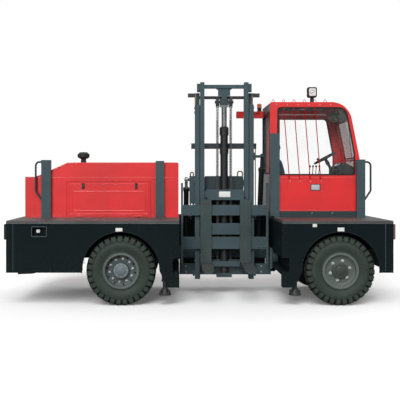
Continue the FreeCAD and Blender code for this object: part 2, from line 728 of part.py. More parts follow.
def door_window():
    """Window of the cab door: the doorway moved in, with its sill at the height of the side window's."""
    points, radii = shrink(cab_doorway(), 75.0)
    points[0] = (points[0][0], WINDOW_SILL)
    points[-1] = (points[-1][0], WINDOW_SILL)
    return points, radii


def end_windows():
    """Width of the rear and front windows, and the height of each."""
    width = (PLATFORM_BACK + PILLAR_WIDTH, CAB_FAR - PILLAR_WIDTH)
    return width, (WINDOW_SILL + 21.0, CAB_TOP - 148.0), (CAB_BASE_TOP + 388.0, CAB_TOP - 268.0)


def cab_hinges():
    """Hinges on the rear edge of the cab door: fixed halves and moving halves."""
    x = CAB_DOOR_REAR - DOOR_GAP
    y = CAB_FAR + HINGE_RADIUS + HINGE_GAP
    third = HINGE_LENGTH / 6
    seat_y = CAB_FAR - 5.0
    leaf_out = y + 2.0
    fixed = []
    moving = []
    for z in (CAB_BASE_TOP + 188.0, CAB_TOP - 308.0):
        pin, middle = hinge((x, y, z), (0, 0, 1))
        fixed.append(pin)
        for sign in (-1, 1):
            ends = (z + sign * HINGE_LENGTH / 2, z + sign * (third + HINGE_PLAY))
            fixed.append(box((x - 25.0, x), (seat_y, y - HINGE_PIN - 1.0), ends))
        leaf = box((x + 2 * DOOR_GAP, x + 45.0), (seat_y, leaf_out), around(z, third))
        arm = box((x, x + 2 * DOOR_GAP + 1.0), (y - HINGE_PIN, leaf_out), around(z, third))
        bore = rod((x, y, z - third), (x, y, z + third), HINGE_PIN + RUNNING)
        moving.append(fuse([middle, leaf, arm]).cut(bore))
    return fixed, moving


def cab_shell():
    """Pressed cab: walls, roof and pillars with the windows and the doorway cut, and the far lamp beam."""
    points, radii = cab_outline()
    outside = rounded_slab_y(points, radii, PLATFORM_BACK, CAB_FAR)
    inner, inner_radii = shrink(cab_outline(), CAB_WALL)
    inner[0] = (inner[0][0], CAB_BASE_TOP - 1)
    inner[-1] = (inner[-1][0], CAB_BASE_TOP - 1)
    shell = outside.cut(rounded_slab_y(inner, inner_radii, PLATFORM_BACK + CAB_WALL, CAB_FAR - CAB_WALL))
    pillar_y, rear_z, front_z = end_windows()
    cutters = [rounded_slab_y(*side_window(), PLATFORM_BACK - 1, PLATFORM_BACK + CAB_WALL + 1),
               rounded_slab_y(*cab_doorway(), CAB_FAR - CAB_WALL - 1, CAB_FAR + 1),
               box((CAB_REAR - 1, CAB_REAR + CAB_WALL + 1), pillar_y, rear_z),
               box((CAB_ROOF_CORNER - 76.0, CAB_NOSE + 1), pillar_y, front_z)]
    for cutter in cutters:
        shell = shell.cut(cutter)
    beam = box((LAMP_BEAM_X, CAB_REAR), LAMP_BEAM_Y, LAMP_BEAM_Z)
    fixed, moving = cab_hinges()
    save("cab_frame", fuse([shell, beam] + fixed))
    cab_door(moving)


def cab_door(hinge_halves):
    """Door on the far side, with its grip and pane."""
    door_points, door_radii = shrink(cab_doorway(), DOOR_GAP)
    window = door_window()
    panel = rounded_slab_y(door_points, door_radii, CAB_FAR - CAB_WALL, CAB_FAR)
    panel = panel.cut(rounded_slab_y(*window, CAB_FAR - CAB_WALL - 1, CAB_FAR + 1))
    grip_x = CAB_DOOR_FRONT - 100.0
    grip_z = (WINDOW_SILL - 179.0, WINDOW_SILL - 39.0)
    grip_y = (CAB_FAR - 5.0, CAB_FAR + 12.0)
    grip = tube_along([(grip_x, grip_y[0], grip_z[0]), (grip_x, grip_y[1], grip_z[0]),
                       (grip_x, grip_y[1], grip_z[1]), (grip_x, grip_y[0], grip_z[1])], 7.0, 8.0)
    save("cab_door", fuse([panel, grip] + hinge_halves))
    middle = CAB_FAR - CAB_WALL / 2
    save("cab_door_glass", rounded_slab_y(*shrink(window, SEAT), middle, middle + GLASS))


def cab_glazing():
    """Fixed panes: side, rear and windscreen."""
    middle = PLATFORM_BACK + CAB_WALL / 2
    side = rounded_slab_y(*shrink(side_window(), SEAT), middle, middle + GLASS)
    pillar_y, rear_z, front_z = end_windows()
    pane_y = (pillar_y[0] + SEAT, pillar_y[1] - SEAT)
    rear_x = CAB_REAR + PANE_DEPTH
    rear = box((rear_x, rear_x + GLASS), pane_y, (rear_z[0] + SEAT, rear_z[1] - SEAT))
    outer = rounded_slab_y(*shrink(cab_outline(), PANE_DEPTH), *pane_y)
    band = outer.cut(rounded_slab_y(*shrink(cab_outline(), PANE_DEPTH + GLASS), *pane_y))
    front = band.common(box((CAB_ROOF_CORNER - 76.0, CAB_NOSE), pane_y, (front_z[0] + SEAT, front_z[1] - SEAT)))
    save("cab_glazing", Part.makeCompound([side, rear, front]))


def cab_base():
    """Cab floor with the seat pedestal."""
    floor = box((CAB_REAR, CAB_NOSE), (PLATFORM_BACK, CAB_FAR), (DECK_TOP, CAB_BASE_TOP))
    pedestal = box((SEAT_X - 130.0, SEAT_X + 320.0), around(SEAT_Y, SEAT_HALF - 40.0), (CAB_BASE_TOP, SEAT_BASE_TOP))
    save("cab_base", fuse([floor, pedestal]))


def controls():
    """Dash, console with levers, and steering wheel."""
    wall_y = PLATFORM_BACK + CAB_WALL
    dash_end = CAB_NOSE - CAB_WALL - 10.0
    dash_top = SEAT_BASE_TOP + 300.0
    dash = [(DASH_FACE, CAB_BASE_TOP), (DASH_FACE, dash_top), (DASH_FACE + 100.0, dash_top + 70.0),
            (dash_end, dash_top), (dash_end, CAB_BASE_TOP)]
    save("dashboard", slab_y(dash, wall_y + 60.0, CAB_FAR - CAB_WALL - 60.0))
    console_top = SEAT_BASE_TOP + 160.0
    console = box((SEAT_X + 270.0, SEAT_X + 540.0), (wall_y + 10.0, wall_y + 170.0), (CAB_BASE_TOP, console_top))
    levers = [console]
    lever_y = wall_y + 90.0
    for i in range(4):
        x = SEAT_X + 330.0 + 50.0 * i
        levers.append(rod((x, lever_y, console_top - 1), (x + 12.0, lever_y, console_top + 150.0), 6.0))
        levers.append(Part.makeSphere(17.0, V(x + 12.0, lever_y, console_top + 160.0)))
    save("control_levers", fuse(levers))
    steering_wheel(dash_top)


def steering_wheel(dash_top):
    """Ring, spokes, hub and column, tilted towards the driver."""
    tilt = math.radians(29.0)
    ring_radius = 186.0
    up = V(-math.sin(tilt), 0, math.cos(tilt))
    hub = V(DASH_FACE - 152.0, SEAT_Y, dash_top + 160.0)
    column_length = (DASH_FACE - hub.x) / math.sin(tilt)
    parts = [Part.makeTorus(ring_radius, 14.0, hub, up),
             rod(tuple(hub - up * column_length), tuple(hub), 24.0),
             rod(tuple(hub - up * 30.0), tuple(hub + up * 12.0), 42.0)]
    for angle in (90.0, 210.0, 330.0):
        spoke = Part.makeBox(ring_radius, 28.0, 8.0, V(0, -14.0, -4.0))
        spoke.rotate(V(0, 0, 0), V(0, 0, 1), angle)
        spoke.rotate(V(0, 0, 0), V(0, 1, 0), -math.degrees(tilt))
        spoke.translate(hub)
        parts.append(spoke)
    inside_dash = box((DASH_FACE, DASH_FACE + 100.0), around(SEAT_Y, 100.0), (CAB_BASE_TOP, dash_top))
    save("steering_wheel", fuse(parts).cut(inside_dash))


def seat():
    """Seat cushion and backrest, as plain closed solids."""
    width = around(SEAT_Y, SEAT_HALF)
    foot = SEAT_BASE_TOP + SEAT
    top = SEAT_BASE_TOP + 120.0
    back_top = SEAT_BASE_TOP + 470.0
    cushion = [(SEAT_X, foot), (SEAT_X, top), (SEAT_X + 380.0, top), (SEAT_X + 380.0, foot)]
    save("seat_cushion", rounded_slab_y(cushion, [0.0, 20.0, 45.0, 30.0], *width))
    back = [(SEAT_X - 130.0, foot), (SEAT_X - 205.0, back_top), (SEAT_X - 95.0, back_top), (SEAT_X - 5.0, top),
            (SEAT_X - 5.0, foot)]
    save("seat_backrest", rounded_slab_y(back, [0.0, 35.0, 45.0, 0.0, 0.0], *width))


def window_guard():
    """Sloping rods in front of the side window, and small loops along the roof edge."""
    guard = []
    y = PLATFORM_BACK - 16.0
    for i in range(4):
        x = CAB_DOOR_REAR + 162.0 * i
        top = (x, y, CAB_TOP - 73.0)
        foot = (x + 90.0, y, WINDOW_SILL - 57.0)
        pegs = [rod(end, (end[0], PLATFORM_BACK, end[2]), 9.0) for end in (top, foot)]
        guard.append(fuse([rod(top, foot, 7.0)] + pegs))
    loop_y = PLATFORM_BACK + 110.0
    for i in range(6):
        x = CAB_REAR + 62.0 + 163.0 * i
        path = [(x - 30.0, loop_y, CAB_TOP - 4.0), (x, loop_y, CAB_TOP + 58.0), (x + 30.0, loop_y, CAB_TOP - 4.0)]
        sunk = box(around(x, 50.0), around(loop_y, 10.0), (CAB_TOP - 20.0, CAB_TOP))
        guard.append(tube_along(path, 4.0, 8.0).cut(sunk))
    save("window_guard", Part.makeCompound(guard))


def roof_lamps():
    """Work lamp on the roof, and the beacon on the lamp beam."""
    x = CAB_REAR + 692.0
    half = 71.0
    lamp_y = (PLATFORM_BACK + 200.0, PLATFORM_BACK + 300.0)
    low = CAB_TOP + 96.0
    high = CAB_TOP + 254.0
    bracket = box(around(x, 30.0), (lamp_y[0] + 40.0, lamp_y[0] + 60.0), (CAB_TOP, low + 20.0))
    lamp = rounded_slab_y([(x - half, low), (x - half, high), (x + half, high), (x + half, low)], [24.0] * 4, *lamp_y)
    save("work_lamp", fuse([bracket, lamp]))
    x = CAB_REAR - 68.0
    y = (LAMP_BEAM_Y[0] + LAMP_BEAM_Y[1]) / 2
    base_z = LAMP_BEAM_Z[1]
    dome_z = base_z + 61.0
    crown_z = dome_z + 58.0
    base = rod((x, y, base_z), (x, y, dome_z), 33.0)
    dome = rod((x, y, dome_z), (x, y, crown_z), 38.0)
    crown = Part.makeCone(38.0, 26.0, 12.0, V(x, y, crown_z))
    save("beacon", fuse([base, dome, crown]))


# ---------------------------------------------------------------- mast trolley

def trolley():
    """Carrier of the mast: side plates with rollers in the guides, cross beams, lugs and the reach rod."""
    low_x = WELL_REAR + MOVING_GAP
    high_x = WELL_FRONT - MOVING_GAP
    middle = (low_x + high_x) / 2
    parts = [box((low_x, high_x), (FRONT_BEAM_Y, FRONT_BEAM_Y + BEAM_DEPTH), (TROLLEY_BOTTOM, FRONT_BEAM_TOP)),
             box((low_x, high_x), (TROLLEY_REAR - BEAM_DEPTH, TROLLEY_REAR), (REAR_BEAM_BOTTOM, TROLLEY_TOP))]
    roller_z = (GUIDE_BOTTOM + GUIDE_TOP) / 2
    roller_radius = (GUIDE_TOP - GUIDE_BOTTOM) / 2 - SEAT
    roller_x = (WELL_REAR - GUIDE_DEPTH + 10.0, WELL_REAR - 8.0)
    sides = [box((low_x, low_x + TROLLEY_PLATE), (TROLLEY_FRONT, TROLLEY_REAR), (TROLLEY_PLATE_BOTTOM, TROLLEY_TOP))]
    for y in (TROLLEY_FRONT + 110.0, TROLLEY_REAR - 110.0):
        sides.append(rod((roller_x[0], y, roller_z), (roller_x[1], y, roller_z), roller_radius))
        sides.append(rod((roller_x[1], y, roller_z), (low_x, y, roller_z), 40.0))
    for shape in sides:
        parts += [shape, shape.mirror(V(middle, 0, 0), V(1, 0, 0))]
    reach_rod = rod((MAST_X, FRONT_BEAM_Y + BEAM_DEPTH, REACH_CYL_Z), (MAST_X, REACH_BARREL_REAR - 15.0, REACH_CYL_Z),
                    REACH_ROD)
    save("mast_trolley", fuse(parts + mast_lugs() + tilt_bases() + [reach_rod]))


def mast_lugs():
    """Lugs on the front beam that carry the pivot pins of the mast."""
    half = 45.0
    thick = 26.0
    x = MAST_X - OUTER_HALF - 8.0
    root = FRONT_BEAM_Y + 1
    lug = slab_x([(PIVOT_Y - half, PIVOT_Z - half), (root, PIVOT_Z), (root, PIVOT_Z + 2 * half),
                  (PIVOT_Y - half, PIVOT_Z + half)], x - thick, x)
    return mast_pair(lug.cut(rod((x - thick - 1, PIVOT_Y, PIVOT_Z), (x + 1, PIVOT_Y, PIVOT_Z), PIVOT_RADIUS + RUNNING)))


def tilt_bases():
    """Ears and pins on the trolley that carry the tilt cylinders."""
    x = MAST_X - TILT_OFFSET
    ear_out = 38.0
    shapes = [rod((x - ear_out, TILT_BASE_Y, TILT_BASE_Z), (x + ear_out, TILT_BASE_Y, TILT_BASE_Z), TILT_PIN)]
    for sign in (-1, 1):
        shapes.append(box((x + sign * 18.0, x + sign * ear_out), around(TILT_BASE_Y, 32.0),
                          (TROLLEY_TOP, TILT_BASE_Z + 32.0)))
    pairs = [mast_pair(shape) for shape in shapes]
    return [shape for pair in pairs for shape in pair]


def reach_cylinder():
    """Two-stage cylinder under the spine that pushes the trolley out."""
    x = MAST_X
    z = REACH_CYL_Z
    rear = REACH_BARREL_REAR
    barrel = pipe((x, REACH_BARREL_FRONT, z), (x, rear, z), REACH_BARREL, REACH_STAGE + SEAT)
    bracket = box(around(x, 70.0), (rear, rear + 40.0), (z - REACH_BARREL, SPINE_BOTTOM))
    save("reach_barrel", fuse([barrel, bracket]))
    save("reach_stage", pipe((x, REACH_BARREL_FRONT - 20.0, z), (x, rear - 10.0, z), REACH_STAGE, REACH_ROD + SEAT))


# ---------------------------------------------------------------- mast

def channel(outer_half, width, low, high):
    """One upright of the mast, a channel that opens towards the middle, on the side of -X."""
    x = MAST_X - outer_half
    body = box((x, x + width), (CHANNEL_FRONT, CHANNEL_REAR), (low, high))
    slot = box((x + CHANNEL_WALL, x + width + 1), (CHANNEL_FRONT + CHANNEL_WALL, CHANNEL_REAR - CHANNEL_WALL),
               (low - 1, high + 1))
    return body.cut(slot)


def tie(half, z, y=TIE_Y, depth=TIE_DEPTH):
    """Cross bar behind the mast, from -half to +half about its middle."""
    return box(around(MAST_X, half), (y, y + depth), z)


def outer_mast():
    """Fixed section of the mast: two channels, ties, foot plate, pivot pins, and lugs for the tilt cylinders."""
    x = MAST_X - OUTER_HALF
    tie_rear = TIE_Y + TIE_DEPTH
    foot_half = 120.0
    parts = mast_pair(channel(OUTER_HALF, OUTER_WIDTH, OUTER_BOTTOM, OUTER_TOP))
    parts += [tie(OUTER_HALF, LOWER_TIE, CHANNEL_REAR, TIE_Y - CHANNEL_REAR + 4.0),
              box(around(MAST_X, foot_half), (LIFT_Y - BARREL_RADIUS, CHANNEL_REAR + 1), (FOOT_BOTTOM, FOOT_TOP)),
              box(around(MAST_X, foot_half), (CHANNEL_REAR, TIE_Y), (FOOT_BOTTOM, LOWER_TIE[0] + 1)),
              tie(300.0, BACK_PLATE), tie(OUTER_HALF + 55.5, MIDDLE_TIE), tie(OUTER_HALF, TOP_TIE),
              box((x - 86.0, x + 1), (CHANNEL_REAR - CHANNEL_WALL, CHANNEL_REAR), (BACK_PLATE[0] - 225.0, BACK_PLATE[1]))]
    pads = [box((x, x + OUTER_WIDTH), (CHANNEL_REAR, tie_rear), (OUTER_TOP - 129.0, TOP_ARM[1])),
            box((x - 108.5, x), (TIE_Y, tie_rear), TOP_ARM),
            box((x, x + OUTER_WIDTH), (CHANNEL_REAR, TIE_Y), (MIDDLE_TIE[0] - 10.0, MIDDLE_TIE[1] + 10.0)),
            box((x, x + OUTER_WIDTH), (CHANNEL_REAR, tie_rear), BACK_PLATE),
            box((x + OUTER_WIDTH, MAST_X - 290.0), (TIE_Y, tie_rear), (BACK_PLATE[0] + 55.0, BACK_PLATE[1] - 58.0)),
            rod((x + 1, PIVOT_Y, PIVOT_Z), (x - 36.0, PIVOT_Y, PIVOT_Z), PIVOT_RADIUS)]
    for pad in pads:
        parts += mast_pair(pad)
    for side, length in ((-1, TILT_SHORT), (1, TILT_LONG)):
        parts += tilt_lug(side, length)
    save("outer_mast", fuse(parts))


def tilt_lug(side, length):
    """Pad on an outer channel, and the pin of the eye of a tilt cylinder. side is -1 or 1."""
    eye = TILT_BASE + TILT_ALONG * length
    face = MAST_X + side * OUTER_HALF
    pad = box((face, face + side * 20.0), (min(eye.y, CHANNEL_REAR - 20.0) - 40.0, eye.y + TILT_LUG),
              around(eye.z, 60.0))
    pin_end = MAST_X + side * (TILT_OFFSET + 30.0)
    return [pad, rod((face + side * 19.0, eye.y, eye.z), (pin_end, eye.y, eye.z), TILT_PIN)]


def inner_mast():
    """Lifting section of the mast: two channels, foot tie, head beam with its centre plate, blocks, rollers."""
    inside = INNER_HALF - CHANNEL_WALL
    parts = mast_pair(channel(INNER_HALF, INNER_WIDTH, INNER_BOTTOM, INNER_TOP))
    parts.append(box(around(MAST_X, inside), (CHANNEL_FRONT - 4.0, CHANNEL_FRONT + CHANNEL_WALL),
                     (INNER_BOTTOM, INNER_BOTTOM + 80.0)))
    parts.append(box(around(MAST_X, inside), (CHANNEL_FRONT + 30.0, CHANNEL_REAR - 30.0), HEAD_BEAM))
    beam_z = HEAD_BEAM[0]
    profile = [(130.0, beam_z + 1), (95.0, beam_z - 26.0), (95.0, beam_z - 114.0), (40.0, beam_z - 114.0),
               (40.0, CROSSHEAD_TOP)]
    plate = [(MAST_X - a, z) for a, z in profile] + [(MAST_X + a, z) for a, z in profile[::-1]]
    parts.append(slab_y(plate, LIFT_Y - 40.0, LIFT_Y + 30.0))
    x = MAST_X - INNER_HALF
    parts += mast_pair(box((x - 51.0, x + 1), (CHANNEL_FRONT + 20.0, CHANNEL_REAR - 10.0), HEAD_BLOCK))
    for z in (INNER_BOTTOM + 70.0, INNER_BOTTOM + 700.0):
        parts += mast_pair(rod((x - MOVING_GAP - 46.0, ROLLER_Y, z), (x + 1, ROLLER_Y, z), ROLLER_RADIUS))
    save("inner_mast", fuse(parts))


def lift_cylinder():
    """Centre lift cylinder: barrel with its head on the outer mast, rod with the crosshead on the inner."""
    chamfer = 16.0
    head_low = BARREL_TOP - HEAD_HEIGHT

    def upright(low, high, radius):
        return rod((MAST_X, LIFT_Y, low), (MAST_X, LIFT_Y, high), radius)

    cone = Part.makeCone(HEAD_RADIUS, HEAD_RADIUS - chamfer, chamfer, V(MAST_X, LIFT_Y, BARREL_TOP - chamfer))
    barrel = fuse([upright(FOOT_TOP, BARREL_TOP, BARREL_RADIUS - 5.0), upright(FOOT_TOP, head_low + 1, BARREL_RADIUS),
                   upright(head_low, BARREL_TOP - chamfer, HEAD_RADIUS), cone, upright(*COLLAR, COLLAR_RADIUS)])
    save("lift_barrel", barrel.cut(upright(FOOT_TOP + 60.0, BARREL_TOP + 1, ROD_RADIUS + SEAT)))
    block = box(around(MAST_X, CHAIN_OFFSET - SHEAVE_WIDTH / 2 - 10.0), around(LIFT_Y, 40.0), (ROD_TOP, CROSSHEAD_TOP))
    shaft_half = CHAIN_OFFSET + SHEAVE_WIDTH / 2 + 10.0
    shaft = rod((MAST_X - shaft_half, LIFT_Y, SHEAVE_Z), (MAST_X + shaft_half, LIFT_Y, SHEAVE_Z), SHAFT_RADIUS)
    save("lift_rod", fuse([upright(ROD_BOTTOM, ROD_TOP, ROD_RADIUS), block, shaft]))


def chains():
    """Leaf chains over two sheaves: front runs to the carriage, rear runs down to the foot of the mast."""
    low_front = 1100.0
    low_rear = 740.0
    anchored_top = 2740.0
    flange = SHEAVE_RADIUS + 6.0
    groove = SHEAVE_RADIUS - CHAIN_THICK
    sheaves = []
    runs = []
    anchored = []
    for x in (MAST_X - CHAIN_OFFSET, MAST_X + CHAIN_OFFSET):
        wheel_x = around(x, SHEAVE_WIDTH / 2)
        span = around(x, CHAIN_WIDTH / 2)

        def ring(ends, radius, bore):
            return pipe((ends[0], LIFT_Y, SHEAVE_Z), (ends[1], LIFT_Y, SHEAVE_Z), radius, bore)

        wheel = ring(wheel_x, flange, SHAFT_RADIUS + SEAT)
        sheaves.append(wheel.cut(ring((span[0] - 1, span[1] + 1), flange + 1, groove - SEAT)))
        upper = box(span, around(LIFT_Y, flange), (SHEAVE_Z, SHEAVE_Z + flange))
        over = ring(span, SHEAVE_RADIUS, groove).common(upper)
        front = box(span, (LIFT_Y - SHEAVE_RADIUS, LIFT_Y - groove), (low_front, SHEAVE_Z))
        rear = box(span, (LIFT_Y + groove, LIFT_Y + SHEAVE_RADIUS), (low_rear, SHEAVE_Z))
        runs.append(fuse([over, front, rear]))
        anchored.append(box(span, (LIFT_Y + SHEAVE_RADIUS + 5.0, TIE_Y), (LOWER_TIE[1], anchored_top)))
    save("chain_sheaves", Part.makeCompound(sheaves))
    save("lift_chains", Part.makeCompound(runs))
    save("chain_anchor_runs", Part.makeCompound(anchored))


def tilt_cylinder(length, rod_shown):
    """Barrel and rod of the tilt cylinder on the side of -X, of a length between its pins."""
    shift = V(MAST_X - TILT_OFFSET, 0, 0)

    def at(distance):
        return tuple(TILT_BASE + shift + TILT_ALONG * distance)

    def across_x(distance, half, radius):
        middle = V(*at(distance))
        return rod(tuple(middle - V(half, 0, 0)), tuple(middle + V(half, 0, 0)), radius)

    top = length - rod_shown
    barrel = fuse([rod(at(70.0), at(top), TILT_BARREL), rod(at(top - 50.0), at(top), TILT_BARREL + 8.0),
                   rod(at(0.0), at(71.0), 16.0), across_x(0.0, 17.0, 40.0)])
    barrel = barrel.cut(rod(at(150.0), at(top + 1), TILT_ROD + SEAT)).cut(across_x(0.0, 18.0, TILT_PIN + RUNNING))
    piston = fuse([rod(at(300.0), at(length - 35.0), TILT_ROD), across_x(length, 20.0, TILT_EYE)])
    return barrel, piston.cut(across_x(length, 21.0, TILT_PIN + 5.0))


def tilt_cylinders():
    """Two cylinders from the trolley to the outer mast, as barrels and rods."""
    short_barrel, short_rod = tilt_cylinder(TILT_SHORT, 140.0)
    long_barrel, long_rod = tilt_cylinder(TILT_LONG, 200.0)
    save("tilt_barrels", Part.makeCompound([short_barrel, mast_pair(long_barrel)[1]]))
    save("tilt_rods", Part.makeCompound([short_rod, mast_pair(long_rod)[1]]))


def mast_hoses():
    """Hydraulic hoses along the outer mast: two looped ones, a riser by the long tilt cylinder, two at the top."""
    radius = 11.0
    x = MAST_X - OUTER_HALF
    side_y = TILT_EYE_Y + TILT_LUG + SEAT + radius
    plate_y = TIE_Y + TIE_DEPTH + radius
    top_y = CHANNEL_REAR - 15.0
    loop = 0.45
    left = [(x - 67.0, side_y, 1240.0), (x - 67.0, side_y, 1917.0), (x - 20.0, side_y, 1917.0), (x - 20.0, side_y, 1400.0)]
    middle = [(MAST_X + 222.0, plate_y, 1700.0), (MAST_X + 222.0, plate_y, 1935.0), (MAST_X + 300.0, plate_y, 1935.0),
              (MAST_X + 300.0, plate_y, 1700.0)]
    riser_x = MAST_X + OUTER_HALF + 42.0
    riser_y = TIE_Y + TIE_DEPTH / 2
    riser = rod((riser_x, riser_y, 1240.0), (riser_x, riser_y, MIDDLE_TIE[0] - SEAT), 8.0)
    hoses = [tube_along(path, radius, (path[2][0] - path[1][0]) * loop) for path in (left, middle)]
    over = [rod((x + 15.0, top_y, OUTER_TOP + SEAT), (x + 15.0, top_y, TOP_ARM[1] - 10.0), 12.0)]
    save("mast_hoses", Part.makeCompound(hoses + [riser] + mast_pair(over[0])))


# ---------------------------------------------------------------- fork carriage

def carriage():
    """Wide carriage: three cross bars, end bars, top plate, roller plates and chain anchors."""
    y = (CARRIAGE_FRONT, CARRIAGE_REAR)
    bars = ((ROLLER_PLATE_OFFSET - 13.5, (FORK_TOP, TOP_PLATE_TOP)), (CARRIAGE_HALF, UPPER_BAR),
            (CARRIAGE_HALF, LOWER_BAR), (ROLLER_PLATE_OFFSET, MIDDLE_BAR))
    parts = [box(around(MAST_X, half), y, z) for half, z in bars]
    end_x = MAST_X - CARRIAGE_HALF
    plate_x = MAST_X - ROLLER_PLATE_OFFSET
    pieces = [box((end_x, end_x + END_BAR), (CARRIAGE_FRONT - 10.0, CARRIAGE_REAR), (END_BAR_BOTTOM, END_BAR_TOP)),
              box((plate_x, plate_x + ROLLER_PLATE), (CARRIAGE_FRONT, CHANNEL_REAR - 30.0),
                  (LOWER_BAR[0] + 21.0, TOP_PLATE_TOP - 17.0)),
              box(around(MAST_X - CHAIN_OFFSET, CHAIN_WIDTH / 2), (CARRIAGE_REAR - 1, CARRIAGE_REAR + 22.0),
                  (UPPER_BAR[0] + 23.0, UPPER_BAR[1] - 75.0))]
    roller_end = MAST_X - INNER_HALF + CHANNEL_WALL + MOVING_GAP
    for z in (LOWER_BAR[1] - 96.0, TOP_PLATE_TOP - 87.0):
        pieces.append(rod((roller_end, ROLLER_Y, z), (plate_x + 1, ROLLER_Y, z), ROLLER_RADIUS))
    for piece in pieces:
        parts += mast_pair(piece)
    save("fork_carriage", fuse(parts))


def forks():
    """Two L-shaped forks with a flat sole and a tapered tip."""
    heel = CARRIAGE_FRONT - FORK_THICK
    tip = heel - FORK_LENGTH
    top = FORK_BOTTOM + FORK_THICK
    side = [(CARRIAGE_FRONT, FORK_BOTTOM), (CARRIAGE_FRONT, FORK_TOP), (heel, FORK_TOP), (heel, top),
            (tip + FORK_TAPER, top), (tip, FORK_BOTTOM + 18.0), (tip, FORK_BOTTOM)]
    corner = 60.0
    for name, offset in zip(("fork_rear", "fork_front"), FORK_OFFSETS):
        x = MAST_X + offset
        fork = slab_x(side, *around(x, FORK_WIDTH / 2))
        for sign in (-1, 1):
            edge = x + sign * FORK_WIDTH / 2
            trim = polygon([(edge, tip - 1, FORK_BOTTOM - 1), (edge, tip + 2 * corner, FORK_BOTTOM - 1),
                            (edge - sign * corner / 2, tip - 1, FORK_BOTTOM - 1)])
            fork = fork.cut(trim.extrude(V(0, 0, FORK_THICK + 2)))
        save(name, fork)


# ---------------------------------------------------------------- stabilisers

def stabilisers():
    """Jacks at the feet of the guide beams: barrels on the frame, and a rod with its pad at each end."""
    y = NEAR + STABILISER_INSET
    barrel_bottom = LEG_BOTTOM + 75.0
    pad_top = PAD_BOTTOM + PAD_THICK
    beams = (WELL_REAR - CROSS_BEAM, WELL_FRONT + CROSS_BEAM)
    barrels = []
    for x, beam_x, name in zip(STABILISER_X, beams, ("rear_stabiliser", "front_stabiliser")):
        bracket = box((beam_x, x), around(y, 20.0), (STABILISER_TOP - 300.0, STABILISER_TOP - 100.0))
        body = fuse([rod((x, y, barrel_bottom), (x, y, STABILISER_TOP), STABILISER_BARREL), bracket])
        bore = rod((x, y, barrel_bottom - 1), (x, y, STABILISER_TOP - 30.0), STABILISER_ROD + SEAT)
        barrels.append(body.cut(bore))
        pad = rod((x, y, PAD_BOTTOM), (x, y, pad_top), PAD_RADIUS)
        cone = Part.makeCone(PAD_RADIUS - 15.0, STABILISER_ROD + 12.0, 60.0, V(x, y, pad_top))
        leg = rod((x, y, pad_top), (x, y, STABILISER_TOP - 60.0), STABILISER_ROD)
        save(name, fuse([pad, cone, leg]))
    save("stabiliser_barrels", Part.makeCompound(barrels))


def main():
    """Build every node."""
    os.makedirs("parts", exist_ok=True)
    rear_frame()
    front_frame()
    spine_frame()
    decks()
    deck_posts()
    grab_handles()
    end_lamps()
    rear_axle()
    front_axle()
    wheels()
    engine_cover()
    door_latches()
    rear_grille()
    engine()
    cab_shell()
    cab_glazing()
    cab_base()
    controls()
    seat()
    window_guard()
    roof_lamps()
    trolley()
    reach_cylinder()
    outer_mast()
    inner_mast()
    lift_cylinder()
    chains()
    tilt_cylinders()
    mast_hoses()
    carriage()
    forks()
    stabilisers()


main()
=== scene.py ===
"""Finishes, small fittings, tyres, seat and stage for a side-loading fork truck.

The packed frame gives every place: +X is the driving direction, -Y the loading side, +Z up, in metres.
"""
import math

import bmesh
import bpy
import numpy as np
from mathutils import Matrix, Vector


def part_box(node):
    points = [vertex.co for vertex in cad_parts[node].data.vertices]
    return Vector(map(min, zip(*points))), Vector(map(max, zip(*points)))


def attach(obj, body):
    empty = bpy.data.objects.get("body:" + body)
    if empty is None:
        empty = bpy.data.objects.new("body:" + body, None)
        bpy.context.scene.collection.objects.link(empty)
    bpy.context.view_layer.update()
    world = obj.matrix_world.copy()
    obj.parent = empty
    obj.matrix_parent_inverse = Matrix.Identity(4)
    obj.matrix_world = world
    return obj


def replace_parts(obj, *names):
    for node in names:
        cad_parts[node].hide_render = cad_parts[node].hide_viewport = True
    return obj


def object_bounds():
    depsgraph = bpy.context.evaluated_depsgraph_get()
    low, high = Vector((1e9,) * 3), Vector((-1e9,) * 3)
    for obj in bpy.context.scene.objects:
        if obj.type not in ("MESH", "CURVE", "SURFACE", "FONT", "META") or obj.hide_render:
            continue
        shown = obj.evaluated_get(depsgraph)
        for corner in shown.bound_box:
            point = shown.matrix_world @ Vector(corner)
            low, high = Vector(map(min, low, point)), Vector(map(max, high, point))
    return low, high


bl_info = {
    "name": "Side loader finishes",
    "version": (1, 0, 0),
    "blender": (4, 5, 0),
    "location": "3D View > Sidebar > Side loader",
    "description": "Paints a side-loading fork truck and adds its fittings, tyres, seat and stage",
    "category": "Object",
}

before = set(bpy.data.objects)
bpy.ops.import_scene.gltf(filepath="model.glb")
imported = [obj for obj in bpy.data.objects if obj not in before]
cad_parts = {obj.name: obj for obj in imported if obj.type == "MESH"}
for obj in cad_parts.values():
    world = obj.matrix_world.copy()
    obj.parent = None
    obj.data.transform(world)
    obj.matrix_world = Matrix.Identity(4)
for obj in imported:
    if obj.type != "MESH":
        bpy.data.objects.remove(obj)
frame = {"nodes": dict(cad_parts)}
CAD_BOX = [list(corner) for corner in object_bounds()]
SHARP = math.radians(32)
# Directions; the loading side is near, the driver's door is on the far side.
FORE, AFT = (1, 0, 0), (-1, 0, 0)
FAR, NEAR = (0, 1, 0), (0, -1, 0)
UP, DOWN = (0, 0, 1), (0, 0, -1)


def low(node):
    """Lowest corner of a node as an array."""
    return np.array(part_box(node)[0])


def high(node):
    """Highest corner of a node as an array."""
    return np.array(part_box(node)[1])


def span(node):
    """Lowest and highest corner of a node."""
    return low(node), high(node)


def middle(node):
    """Middle of a node's box as an array."""
    return (low(node) + high(node)) / 2


# ---------------- shader values and nodes

